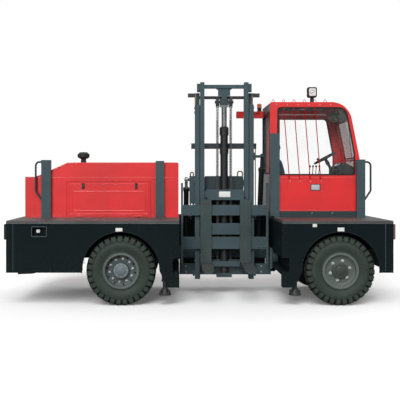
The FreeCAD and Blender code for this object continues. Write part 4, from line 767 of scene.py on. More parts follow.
def make_finishes():
    """Every finish by its short name."""
    c = bpy.context.scene.sideloader_colours
    red_edge, slate_edge = linear(236, 120, 110), linear(140, 148, 148)
    # Name, paint, colour of bare edges, roughness, dust, chips, coat, gloss and mask of painted shade.
    paints = {
        "red": ("cover_paint", c.cover, red_edge, 0.3, 0.55, 0.5, 0.5, 0.4),
        # Cab paint, with painted shade on its rear wall.
        "cab_red": ("cab_paint", c.cover, red_edge, 0.3, 0.55, 0.5, 0.5, 0.4, rear_wall_shade),
        "guard": ("guard_paint", scaled(c.cover, 0.6), linear(190, 130, 120), 0.45, 0.1, 0.1, 0.0, 0.2),
        # Mast paint, with painted shade on the ties behind its columns.
        "ties": ("outer_mast_paint", c.slate, slate_edge, 0.44, 0.45, 0.7, 0.0, 0.25, rear_tie_shade),
        "black": ("frame_paint", c.frame, linear(112, 114, 114), 0.46, 0.22, 0.5, 0.0, 0.08),
        "slate": ("mast_paint", c.slate, slate_edge, 0.44, 0.45, 0.7, 0.0, 0.25),
        "sill": ("sill_paint", scaled(c.slate, 0.5), linear(130, 132, 132), 0.48, 0.8, 0.6),
        "rear_rim": ("rear_rim_paint", c.rear_rim, linear(120, 126, 124), 0.45, 0.35),
        "front_rim": ("front_rim_paint", c.front_rim, linear(130, 134, 130), 0.45, 0.5),
        "hub": ("hub_paint", c.hub, linear(150, 156, 158), 0.42, 0.5, 1.0, 0.0, 0.4),
        "front_hub": ("front_hub_paint", scaled(c.front_rim, 0.4), linear(130, 134, 130), 0.45, 0.5),
        "lock_ring": ("lock_ring_paint", linear(98, 106, 104), linear(150, 156, 154), 0.4, 0.5),
        "trim": ("edge_strip", linear(60, 80, 80), linear(130, 140, 140), 0.4, 0.4),
        "blades": ("fan_blades", linear(128, 136, 128), linear(160, 164, 160), 0.4, 0.4, 0.5),
    }
    for short, row in paints.items():
        FINISHES[short] = painted(*row)
    FINISHES.update({
        "deck": deck_finish("deck_plate", c.deck),
        "tyre": rubber_finish("tyre_rubber", c.rubber),
        "iron": cast_finish("casting", c.iron),
        "steel": steel_finish("dark_steel", c.steel, 0.4, 0.6),
        "fork": steel_finish("fork_steel", c.fork, 0.5, 0.25),
        "black_steel": steel_finish("cylinder_black", scaled(c.steel, 0.45), 0.4, 0.2),
        "zinc": steel_finish("zinc_bolts", linear(150, 154, 152), 0.4, 0.35),
        "nut": steel_finish("wheel_nuts", linear(184, 188, 186), 0.4, 0.2),
        "chrome": polished_finish("chromed_rod"),
        "tilt_rod": eyed_rod_finish("tilt_rod_grey", scaled(c.slate, 0.4), middle("tilt_rods")[1] - 0.13),
        "lift_rod": headed_rod_finish("lift_rod_chrome", scaled(c.slate, 0.7), high("lift_rod")[2] - 0.108),
        "plastic": plastic_finish("black_plastic", c.plastic, 0.5, 0.3),
        "gasket": plastic_finish("window_rubber", scaled(c.plastic, 0.6), 0.6, 0.15),
        "piping": plastic_finish("seat_piping", scaled(c.cloth, 0.5), 0.55, 0.2),
        "glass": glass_finish("window_glass"),
        "cloth": cloth_finish("seat_cloth", c.cloth),
        "hose": hose_finish("hose_cover", c.hose),
        "amber": lens_finish("beacon_lens", c.amber, 520.0),
        "amber_lamp": lens_finish("turn_lens", c.amber, 380.0),
        "lamp": lens_finish("tail_lens", c.lamp, 380.0),
        "clear": lens_finish("clear_lens", linear(214, 216, 214), 420.0),
        "housing": housing_finish("lamp_housing", linear(112, 86, 78), c.frame),
        "label": label_finish("blank_label", c.label),
        "badge": label_finish("badge_metal", linear(178, 182, 184)),
    })


NODE_FINISHES = {
    "black": ["rear_frame", "front_frame", "spine_frame", "cab_step"],
    "deck": ["rear_deck", "front_deck"],
    "slate": ["deck_posts", "mast_trolley", "inner_mast", "fork_carriage"],
    "ties": ["outer_mast"],
    "sill": ["cab_base", "grab_handles"],
    "red": ["engine_cover", "engine_door"],
    "cab_red": ["cab_frame", "cab_door"],
    "guard": ["window_guard"],
    "rear_rim": ["rear_rim_right", "rear_rim_left"],
    "front_rim": ["front_rim_right", "front_rim_left"],
    "iron": ["rear_axle", "front_axle", "knuckle_right", "knuckle_left", "engine_block"],
    "fork": ["fork_rear", "fork_front"],
    "steel": ["chain_sheaves", "rear_stabiliser", "front_stabiliser"],
    "black_steel": ["lift_barrel", "tilt_barrels", "stabiliser_barrels", "reach_barrel"],
    "chrome": ["reach_stage"],
    "tilt_rod": ["tilt_rods"],
    "lift_rod": ["lift_rod"],
    "plastic": ["rear_grille", "air_precleaner", "dashboard", "control_levers", "steering_wheel",
                "work_lamp", "door_latches"],
    "glass": ["cab_glazing", "cab_door_glass"],
    "hose": ["mast_hoses"],
    "amber": ["beacon"],
    "housing": ["end_lamps"],
}


# ---------------- wheels

SIDES = {"right": -1, "left": 1}


def tyre_shape(centre, side, settings):
    """Lugged tyre, and a mark on each point that lies in a groove, which the rubber darkens as painted
    shade. Each profile point has an outward distance, a radius, and how far a groove sinks it on both. A
    point of the surface is the centre + radius * (cos, sin) of its angle, moved in by the groove where its
    phase round the tyre lies in the notch; the notches of the two shoulders are half a pitch apart and
    slant."""
    depth = settings.groove
    wall = np.array([(0.098, 0.250, 0, 0), (0.104, 0.257, 0, 0), (0.1075, 0.268, 0, 0),
                     (0.104, 0.277, 0, 0), (0.107, 0.290, 0, 0), (0.117, 0.318, 0, 0),
                     (0.1235, 0.340, 0, 0), (0.1215, 0.346, 0, 0), (0.1248, 0.354, 0, 0),
                     (0.1238, 0.372, 0, 0), (0.1195, 0.380, 0, 0), (0.1200, 0.388, 0, 0),
                     (0.1150, 0.402, 0, 0), (0.1130, 0.408, 0.001, 0), (0.1225, 0.414, 0.014, 0),
                     (0.1215, 0.440, 0.018, 0.002), (0.1185, 0.464, 0.020, 0.010),
                     (0.1120, 0.480, 0.018, 0.018), (0.1040, 0.4885, 0.010, 0.026),
                     (0.0900, 0.4930, 0, depth), (0.0700, 0.4970, 0, depth), (0.0480, 0.4995, 0, depth),
                     (0.0300, 0.5000, 0, depth), (0.0240, 0.5000, 0, depth * 0.7), (0.0180, 0.5000, 0, 0),
                     (0.0060, 0.5000, 0, 0)])
    outer = np.concatenate([wall, np.ones((len(wall), 1))], 1)
    inner = outer[::-1] * (-1, 1, -1, 1, -1)
    profile = np.concatenate([outer, inner])
    slope = 0.03
    starts = (0.0, slope, settings.notch - slope, settings.notch)
    phases = np.array(starts + tuple(0.5 + s for s in starts))
    groove_and_shade = np.array((0, 1, 1, 0, 0, 0, 0, 0.0))
    pitch = 2 * np.pi / settings.lugs
    angle = ((np.arange(settings.lugs)[:, None] + phases) * pitch).ravel()
    masks = {1: np.tile(groove_and_shade, settings.lugs), -1: np.tile(np.roll(groove_and_shade, 4), settings.lugs)}
    mask = np.stack([masks[int(sign)] for sign in profile[:, 4]])
    slant = 0.045 * np.abs(profile[:, :1]) / 0.12
    turn = angle + slant
    radius = profile[:, 1:2] - mask * profile[:, 3:4]
    out = profile[:, :1] - mask * profile[:, 2:3]
    points = np.stack([centre[0] + radius * np.cos(turn), centre[1] + side * out,
                       centre[2] + radius * np.sin(turn)], -1)
    # The second result marks the grooves, which the rubber darkens as painted shade.
    return tube(points, True), (mask * (profile[:, 2:3] + profile[:, 3:4] > 0.002)).ravel()


class SIDELOADER_OT_tyres(bpy.types.Operator):
    """Add the four tyres with their lugs"""
    bl_idname = "sideloader.tyres"
    bl_label = "Tyres"

    def execute(self, context):
        for end in ("rear", "front"):
            for name, side in SIDES.items():
                node = f"{end}_tyre_{name}"
                shape, groove_and_shade = tyre_shape(middle(node), side, context.scene.sideloader_tyre)
                made = piece(f"lugged_{node}", shape, "tyre", f"{end}_wheel_{name}")
                # The groove attribute carries the painted shade of the grooves.
                made.data.attributes.new("groove_and_shade", "FLOAT", "POINT").data.foreach_set("value", groove_and_shade)
                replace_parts(made, node)
        return {"FINISHED"}


def upright(centre, y, radius, angles):
    """Points on an upright circle at a distance y: centre + radius * (cos, sin) of each angle."""
    angles = np.asarray(angles, float)
    return np.stack([centre[0] + radius * np.cos(angles), np.full(len(angles), y),
                     centre[2] + radius * np.sin(angles)], -1)


def spaced(count, shift=0.0):
    """Even angles round a circle."""
    return (np.arange(count) + shift) * 2 * np.pi / count


class SIDELOADER_OT_wheel_fittings(bpy.types.Operator):
    """Add wheel nuts, hub caps, hub bolts, lock rings, hand holes drawn as painted shade, and valves"""
    bl_idname = "sideloader.wheel_fittings"
    bl_label = "Wheel fittings"

    def execute(self, context):
        # Outward distance of disc and hub; number, circle and size of the nuts; number of hand holes.
        kinds = {"rear": (0.029, 0.094, 10, 0.1675, 0.026, 10), "front": (0.064, 0.104, 6, 0.142, 0.034, 0)}
        for end, (disc, hub, nuts, ring, size, holes) in kinds.items():
            for name, side in SIDES.items():
                centre = middle(f"{end}_rim_{name}")
                body, label = f"{end}_wheel_{name}", f"{end}_{name}"
                axis = (0, side, 0)
                hub_at = centre + np.array((0, side * hub, 0))
                nut = joined([bolt((0, 0, 0), axis, size),
                              lathe((0, 0, 0), axis,
                                    [(0, size * 0.3), (size, size * 0.3), (size * 1.15, size * 0.2)], 8)])
                piece(f"wheel_nuts_{label}",
                      repeated(nut, upright(centre, centre[1] + side * disc, ring, spaced(nuts, 0.25))),
                      "nut", body)
                cap = lathe(hub_at, axis,
                            [(-0.002, 0.066), (0.010, 0.066), (0.014, 0.060), (0.018, 0.040),
                             (0.0195, 0.018), (0.020, 0.002)], 32)
                flange = lathe(hub_at, axis,
                               [(-0.012, 0.1085), (0.001, 0.1085), (0.003, 0.104), (0.003, 0.070)], 40)
                piece(f"hub_cap_{label}", [cap, flange],
                      "hub" if end == "rear" else "front_hub", body)
                piece(f"hub_bolts_{label}",
                      bolts(upright(centre, centre[1] + side * (hub + 0.003), 0.087, spaced(8)), axis,
                            0.014), "zinc" if end == "rear" else "front_hub", body)
                piece(f"lock_ring_{label}",
                      [oval_ring(centre, axis, (0.1215, 0.2415), (0.004, 0.005)),
                       oval_ring(centre, axis, (0.1190, 0.2300), (0.003, 0.004))],
                      "lock_ring", body)
                # Each hand hole is a thin dark patch on the disc: painted shade standing in for the
                # opening.
                if holes:
                    slots = []
                    for at in upright(centre, centre[1] + side * (disc + 0.0075), 0.2015,
                                      spaced(holes, 0.75)):
                        radial = (at - centre) * (1, 0, 1)
                        facing = np.array(axis, float) - 0.33 * radial / np.linalg.norm(radial)
                        slots.append(boss(at, facing, rounded(0.044, 0.026, 0.0125),
                                          [(-0.002, 1), (0.0008, 1), (0.0012, 0.9)],
                                          np.cross(axis, radial)))
                    piece(f"hand_hole_shade_{label}", slots, "gasket", body)
                valve_at = upright(centre, centre[1] + side * 0.085, 0.222, [0.9])[0]
                valve = lathe(valve_at, axis,
                              [(-0.02, 0.005), (0.022, 0.005), (0.023, 0.004), (0.034, 0.004),
                               (0.036, 0.002)], 10)
                piece(f"valve_{label}", valve, "zinc", body)
        return {"FINISHED"}


# ---------------- chassis

# Radius of the wheel arches' lips and height of the frame's lower edge.
ARCH, FRAME_FOOT = 0.558, 0.475


def frame_ends():
    """Places on the chassis: near and far faces, rear and front ends, deck top and deck underside."""
    rear, front = low("rear_frame"), high("front_frame")
    return rear[1], front[1], rear[0], front[0], high("rear_deck")[2], low("rear_deck")[2]


# Sections of beads and edge strips: (across, out) in metres.
HALF_ROUND = np.array([(-0.006, -0.004), (-0.006, 0.001), (-0.004, 0.004), (0, 0.0055), (0.004, 0.004),
                       (0.006, 0.001), (0.006, -0.004)])
STRIP = np.array([(-0.012, -0.003), (-0.012, 0.0015), (-0.011, 0.0025), (0.011, 0.0025), (0.012, 0.0015),
                  (0.012, -0.003)])


class SIDELOADER_OT_frame_trim(bpy.types.Operator):
    """Add lips, mudguards, painted highlights down the corner folds, bolts, labels, reflectors, hitch,
    hatches, pipe and side lamp
    """
    bl_idname = "sideloader.frame_trim"
    bl_label = "Chassis trim"

    def execute(self, context):
        near, far, rear, front, deck, under = frame_ends()
        size = context.scene.sideloader_fittings.bolt
        # Axle; first and last angle of the arch lip; radius and angles of the mudguard.
        axles = ((middle("rear_rim_right"), 6.5, 183, 0.575, 8, 182),
                 (middle("front_rim_right"), -3, 173.5, 0.62, 2, 158))
        lips, guards = [], []
        for centre, first, last, reach, start, stop in axles:
            for y, facing in ((near, NEAR), (far, FAR)):
                edge = upright(centre, y, ARCH, np.radians(np.linspace(first, last, 48)))
                lips.append(sweep(edge, HALF_ROUND * (1.3, 1), facing))
                path = upright(centre, y - facing[1] * 0.146, reach,
                               np.radians(np.linspace(start, stop, 48)))
                guards.append(sweep(path,
                                    [(-0.0015, -0.128), (0.0015, -0.128), (0.0015, 0.128),
                                     (-0.0015, 0.128)], FAR))
        piece("arch_lips", lips, "black")
        piece("mudguards", guards, "black")

        strips, noses = [], []
        # Light strips down the chassis corners: painted highlights on the edges of the folded plate.
        for x in (rear + 0.10, front - 0.113):
            for y, facing in ((near, NEAR), (far, FAR)):
                strips.append(sweep([(x, y, FRAME_FOOT + 0.02), (x, y, under - 0.004)], HALF_ROUND * 0.5,
                                    facing))
        piece("corner_fold_highlights", strips, "trim")
        well = (high("rear_frame")[0], low("front_frame")[0])
        for x0, x1 in ((rear, well[0]), (well[1], front)):
            for y, facing in ((near, NEAR), (far, FAR)):
                noses.append(sweep([(x0 + 0.002, y, deck - 0.020), (x1 - 0.002, y, deck - 0.020)],
                                   STRIP * (1.5, 1), facing))
                noses.append(sweep([(x0 + 0.002, y, under - 0.001), (x1 - 0.002, y, under - 0.001)],
                                   HALF_ROUND * 0.6, facing))
        piece("deck_nosing", noses, "deck")

        rows = []
        for x in (well[0] - 0.045, well[1] + 0.045):
            rows += [(x, near, z) for z in (0.32, 0.42, 0.76, 0.90, 1.04, 1.13)]
        piece("well_bolts", bolts(rows, NEAR, size), "black")
        far_rows = [(x, far, z) for x in (well[0] - 0.045, well[1] + 0.045, rear + 0.05, front - 0.05)
                    for z in (0.60, 0.76, 0.90, 1.04, 1.13)]
        piece("far_side_bolts", bolts(far_rows, FAR, size), "zinc")
        for end, x, facing in (("rear", rear, AFT), ("front", front, FORE)):
            heads = [(x, y, z) for y in (-0.62, -0.3, 0.3, 0.62) for z in (0.56, 1.10)]
            piece(f"{end}_end_bolts", bolts(heads, facing, size), "zinc")

        rear_axle, front_axle = middle("rear_rim_right")[0], middle("front_rim_right")[0]
        blanks = [((rear_axle - 0.026, near, 1.083), 0.098, 0.058),
                  ((front_axle + 0.002, near, 1.092), 0.096, 0.054),
                  ((well[1] + 0.459, near, 1.150), 0.060, 0.048),
                  ((rear_axle - 0.520, near, 0.640), 0.030, 0.075)]
        piece("blank_labels", [plate(at, NEAR, w, h, 0.0015, 0.004, 0.0005) for at, w, h in blanks],
              "label")

        hatches, screws = [], []
        z, h = 0.95, 0.30
        for x, w in ((rear + 0.52, 0.62), (well[1] + 0.17, 0.20)):
            hatches.append(plate((x, far, z), FAR, w, h, 0.004, 0.03, 0.002))
            screws += [(x + sx * (w / 2 - 0.03), far + 0.004, z + sz * (h / 2 - 0.03)) for sx in (-1, 0, 1)
                       for sz in (-1, 1)]
        piece("far_side_hatches", hatches, "black")
        piece("hatch_screws", bolts(screws, FAR, 0.014), "zinc")

        marks = [plate((rear, side * 0.86, 0.62), AFT, 0.10, 0.045, 0.006, 0.01) for side in (-1, 1)]
        marks.append(plate((rear + 0.15, far, 0.60), FAR, 0.08, 0.04, 0.006, 0.01))
        piece("reflectors", marks, "lamp")
        marks = [plate((x, far, 0.62), FAR, 0.08, 0.04, 0.006, 0.01) for x in (well[1] + 0.22, front - 0.2)]
        piece("side_reflectors", marks, "amber_lamp")

        hitch = [plate((rear, 0, 0.60), AFT, 0.24, 0.16, 0.014, 0.02),
                 *[boss((rear - 0.014, 0, z), AFT, rounded(0.10, 0.022, 0.006),
                        [(-0.002, 1), (0.018, 1), (0.02, 0.9)]) for z in (0.645, 0.555)],
                 lathe((rear - 0.024, 0, 0.53), UP,
                       [(0, 0.009), (0.15, 0.009), (0.151, 0.016), (0.158, 0.016)], 16)]
        piece("tow_hitch", hitch, "black_steel")
        number = plate((rear, 0, 0.80), AFT, 0.42, 0.12, 0.003, 0.012)
        piece("blank_number_plate", number, "label")

        pipe_path = [(rear + 0.55, near + 0.22, 0.60), (rear + 0.40, near + 0.20, 0.465),
                     (rear + 0.22, near + 0.17, 0.462), (rear + 0.14, near + 0.16, 0.458)]
        tail = [cable(pipe_path, 0.024, 0.08, 14)]
        tail.append(boss((rear + 0.33, near + 0.19, 0.475), UP, rounded(0.06, 0.05, 0.01),
                         [(-0.01, 1), (0.05, 1)]))
        piece("tail_pipe", tail, "iron")

        recess = middle("side_lamp")
        rim_path = [(recess[0] - 0.154 + dx, near, recess[2] + dz)
                    for dx, dz in ((0, -0.0695), (0, 0.0695), (0.209, 0.0695), (0.209, -0.0695))]
        piece("recess_rim",
              sweep(smooth_path(np.array(rim_path), 0.012, 4), HALF_ROUND * (0.8, 0.6), NEAR, True),
              "trim")
        lamp_at = np.array((recess[0] - 0.066, low("side_lamp")[1], recess[2] + 0.006))
        lens = plate(lamp_at, NEAR, 0.050, 0.044, 0.006, 0.006, 0.002)
        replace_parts(piece("side_lens", lens, "clear"), "side_lamp")
        back = boss(lamp_at + (0, 0.036, 0), NEAR, rounded(0.064, 0.058, 0.010),
                    [(-0.0005, 1), (0.030, 1), (0.036, 0.92)])
        piece("side_lamp_body", back, "plastic")
        return {"FINISHED"}


class SIDELOADER_OT_post_trim(bpy.types.Operator):
    """Add caps, bolts, foot welds and handle flanges to the deck posts"""
    bl_idname = "sideloader.post_trim"
    bl_label = "Post trim"

    def execute(self, context):
        size = context.scene.sideloader_fittings.bolt
        deck = high("rear_deck")[2]
        y0, y1 = low("deck_posts")[1], high("deck_posts")[1]
        cover, cab = low("engine_cover"), low("cab_base")
        posts = ((cover[0] + 0.261, cover[0] + 0.409, high("engine_cover")[2] + 0.033),
                 (high("engine_cover")[0] - 0.354, high("engine_cover")[0] - 0.223,
                  high("engine_cover")[2] + 0.019), (cab[0], cab[0] + 0.140, deck + 1.295),
                 (high("cab_base")[0] - 0.062, high("cab_base")[0] + 0.070, deck + 0.892))
        caps, heads, welds = [], [], []
        for x0, x1, top in posts:
            x, w = (x0 + x1) / 2, x1 - x0
            caps.append(plate((x, (y0 + y1) / 2, top), UP, w + 0.004, y1 - y0 + 0.004, 0.005, 0.008, 0.002))
            heads += [(x + s * w * 0.27, y0, deck + h) for s in (-1, 1) for h in (0.075, 0.16)]
            welds.append(sweep([(x0 + 0.004, y0, deck + 0.031), (x1 - 0.004, y0, deck + 0.031)],
                               HALF_ROUND * (0.6, 0.8), (0, -1, 0.6)))
        piece("post_caps", caps, "slate")
        piece("post_bolts", bolts(heads, NEAR, size), "slate")
        piece("post_welds", welds, "slate")
        handles = span("grab_handles")
        y = (y0 + y1) / 2
        rings = []
        for x, sign in ((posts[0][0], -1), (posts[3][1], 1)):
            for z in (handles[0][2] + 0.021, handles[1][2] - 0.015):
                rings.append(lathe((x, y, z), (sign, 0, 0),
                                   [(-0.001, 0.03), (0.004, 0.03), (0.006, 0.026), (0.007, 0.018)], 20))
        piece("handle_flanges", rings, "slate")
        return {"FINISHED"}


# ---------------- engine cover

def frame_path(x0, x1, z0, z1, y, radius):
    """Upright rounded rectangle as a closed path at a distance y."""
    corners = [(x0, y, z0), (x0, y, z1), (x1, y, z1), (x1, y, z0)]
    return smooth_path(corners, radius, 4)


def louvre(width, reach, height):
    """Hood of one air slot: a wedge profile (out, up) carried along its width, facing +Y."""
    profile = np.array([(0, -height / 2), (0, height / 2), (reach * 0.3, height * 0.42),
                        (reach * 0.8, height * 0.1), (reach, -height * 0.35), (reach, -height / 2)])
    ends = np.array([-width / 2, -width / 2 + reach, width / 2 - reach, width / 2])
    shares = np.array([0.15, 1, 1, 0.15])
    rings = np.stack([np.stack([np.full(len(profile), x), profile[:, 0] * s, profile[:, 1]], -1)
                      for x, s in zip(ends, shares)])
    return tube(rings)


class SIDELOADER_OT_cover_trim(bpy.types.Operator):
    """Add creases, door pressings, louvres, bolts, catches and cleaner fins to the engine cover"""
    bl_idname = "sideloader.cover_trim"
    bl_label = "Engine cover trim"

    def execute(self, context):
        size = context.scene.sideloader_fittings.small_bolt
        rear, front = low("engine_cover")[0], high("engine_cover")[0]
        near, far = low("cab_base")[1], high("engine_cover")[1]
        deck, top = low("engine_cover")[2], high("engine_cover")[2]
        ledge = deck + 0.617
        slope_x = rear + 0.662
        bead = HALF_ROUND * (0.8, 0.7)
        creases = []
        for y, facing in ((near, NEAR), (far, FAR)):
            creases.append(sweep([(rear + 0.004, y, ledge), (front - 0.004, y, ledge)], bead, facing))
            creases.append(sweep([(rear + 0.167, y, ledge + 0.012), (slope_x + 0.03, y, top - 0.012),
                                  (front - 0.02, y, top - 0.012)], bead, facing))
            for x in (rear + 0.150, front - 0.372):
                creases.append(sweep([(x, y, deck + 0.03), (x, y, ledge - 0.006)], HALF_ROUND * 0.5,
                                     facing))
        for x in (slope_x + 0.10, front - 0.70, front - 0.06):
            creases.append(sweep([(x, near + 0.02, top), (x, far - 0.02, top)], bead, UP))
        for y in (near + 0.09, far - 0.09):
            creases.append(sweep([(slope_x + 0.08, y, top), (front - 0.04, y, top)], bead, UP))
        piece("cover_creases", creases, "red")

        lo, hi = span("engine_door")
        rim = sweep(frame_path(lo[0] + 0.035, hi[0] - 0.035, lo[2] + 0.048, hi[2] - 0.035, near, 0.03),
                    bead, NEAR, True)
        inner = sweep(frame_path(lo[0] + 0.085, hi[0] - 0.085, lo[2] + 0.095, hi[2] - 0.150, near, 0.05),
                      HALF_ROUND * (1.2, 0.5), NEAR, True)
        piece("door_pressings", [rim, inner], "red", "engine_door")

        feet = [(x, near, deck + 0.020) for x in np.linspace(rear + 0.04, lo[0] - 0.08, 3)]
        feet += [(x, near, deck + 0.020) for x in np.linspace(hi[0] + 0.08, front - 0.04, 3)]
        piece("cover_bolts", bolts(feet, NEAR, size), "red")
        feet = [(x, far, deck + 0.020) for x in np.linspace(rear + 0.05, front - 0.05, 9)]
        piece("cover_far_bolts", bolts(feet, FAR, size), "zinc")

        hood = louvre(0.36, 0.013, 0.026)
        banks = [(x, far, z) for x in (rear + 0.95, rear + 1.40)
                 for z in np.linspace(deck + 0.16, deck + 0.50, 9)]
        piece("cover_louvres", repeated(hood, banks), "red")
        # Thin dark strips under the hoods: painted shade in the slot openings.
        slots = [plate((x, far, z - 0.0145), FAR, 0.33, 0.004, 0.0012, 0.0015, 0.0004) for x, y, z in banks]
        piece("louvre_slot_shade", slots, "gasket")

        grip = cable([(rear + 0.50, far - 0.004, deck + 0.33), (rear + 0.50, far + 0.014, deck + 0.33),
                      (rear + 0.50, far + 0.014, deck + 0.47), (rear + 0.50, far - 0.004, deck + 0.47)],
                     0.006, 0.008)
        catches = [plate((x, far, ledge - 0.03), FAR, 0.03, 0.08, 0.010, 0.006, 0.002)
                   for x in (rear + 0.75, front - 0.35)]
        cap = lathe((rear + 0.35, far, deck + 0.40), FAR,
                    [(-0.002, 0.055), (0.006, 0.055), (0.008, 0.05), (0.014, 0.05), (0.017, 0.046)], 24)
        piece("cover_far_handle", [grip] + catches + [cap], "plastic")

        lo, hi = span("rear_grille")
        corners = [(lo[0] - 0.002, y, z) for y in (lo[1] + 0.015, hi[1] - 0.015)
                   for z in (lo[2] + 0.015, hi[2] - 0.015)]
        piece("grille_bolts", bolts(corners, AFT, size), "zinc")
        bars = [cable([(lo[0] - 0.004, y, lo[2] + 0.02), (lo[0] - 0.004, y, hi[2] - 0.02)], 0.004)
                for y in np.linspace(lo[1] + 0.12, hi[1] - 0.12, 5)]
        piece("grille_bars", bars, "plastic")

        lo, hi = span("door_latches")
        z = lo[2]
        for end, x in (("rear", lo[0] + 0.0195), ("front", hi[0] - 0.0195)):
            strap = [plate((x, near - 0.0235, z + 0.041), NEAR, 0.016, 0.046, 0.002, 0.004, 0.0006),
                     bolt((x, near - 0.012, z + 0.012), NEAR, 0.010),
                     bolt((x, near - 0.012, z + 0.082), NEAR, 0.010)]
            piece(f"latch_plate_{end}", strap, "steel", "engine_door")

        lo, hi = span("air_precleaner")
        at = (lo + hi) / 2
        rings = [oval_ring((at[0], at[1], 0), UP, (z, r), 0.003)
                 for z, r in ((lo[2] + 0.010, 0.045), (lo[2] + 0.096, 0.0945), (lo[2] + 0.140, 0.0945),
                              (hi[2] - 0.002, 0.06))]
        fins = []
        for turn in spaced(28):
            out = np.array((math.cos(turn), math.sin(turn), 0))
            fins.append(boss(np.array((at[0], at[1], lo[2] + 0.118)) + out * 0.0925, out,
                             rounded(0.004, 0.036, 0.001, 1), [(0, 1), (0.0045, 1)]))
        clamp = collar((at[0], at[1], lo[2] + 0.02), UP, 0.0435, 0.045, 0.001, 0.014, 28)
        piece("precleaner_fins", rings + fins + [clamp], "plastic")
        knob = lathe((at[0], at[1], hi[2] - 0.001), UP, [(0, 0.014), (0.006, 0.014), (0.009, 0.008)], 16)
        piece("precleaner_nut", knob, "zinc")
        return {"FINISHED"}


# ---------------- cab

def outline_path(corners, radii):
    """Closed path through corners rounded to arcs of given radii; the reach along each side is
    radius / tan(half the corner's angle)."""
    corners = np.asarray(corners, float)
    reaches = []
    for i, radius in enumerate(radii):
        back = corners[i - 1] - corners[i]
        ahead = corners[(i + 1) % len(corners)] - corners[i]
        cosine = back @ ahead / np.linalg.norm(back) / np.linalg.norm(ahead)
        reaches.append(radius / math.tan(math.acos(cosine) / 2))
    return smooth_path(corners, reaches, 6)


# Section of a window rubber: (share of its width, distance out in metres).
GASKET = np.array([(-0.5, -0.006), (-0.5, 0.001), (-0.42, 0.0045), (-0.2, 0.0055), (0.05, 0.0035),
                   (0.2, 0.005), (0.42, 0.0045), (0.5, 0.001), (0.5, -0.006)])


# Height of the windscreen's foot above the cab's floor.
SCREEN_FOOT = 0.816


def cab_places():
    """Rear, nose, roof, floor, near and far sides and window sill of the cab, and the side window's
    corners with their radii."""
    rear, nose = low("cab_base")[0], high("cab_frame")[0]
    roof, floor = high("cab_frame")[2], low("cab_frame")[2]
    near, far = low("cab_base")[1], high("cab_base")[1]
    sill, top = low("cab_door_glass")[2], roof - 0.089
    window = [(rear + 0.124, sill), (rear + 0.124, top), (nose - 0.216, top), (nose - 0.082, floor + 0.896),
              (nose - 0.082, sill)]
    return rear, nose, roof, floor, near, far, sill, window, (0.025, 0.05, 0.15, 0.06, 0.025)


def on_slope(nose, roof, floor, share, out=0.0):
    """Point (x, z) on the windscreen's slope: share 0 at its foot and 1 at the roof, moved out square
    to it."""
    foot = np.array((nose, floor + SCREEN_FOOT))
    head = np.array((nose - 0.174, roof))
    along = (head - foot) / np.linalg.norm(head - foot)
    return foot + (head - foot) * share + out * np.array((along[1], -along[0]))


def pane_rubber(foot, head, near, far, section, facing):
    """Rubber round a pane across the cab, from a foot (x, z) to a head (x, z)."""
    left, right = near + 0.09, far - 0.09
    corners = [(x, y, z) for (x, z), sides in ((foot, (left, right)), (head, (right, left))) for y in sides]
    return sweep(outline_path(corners, [0.03] * 4), section, facing, True)


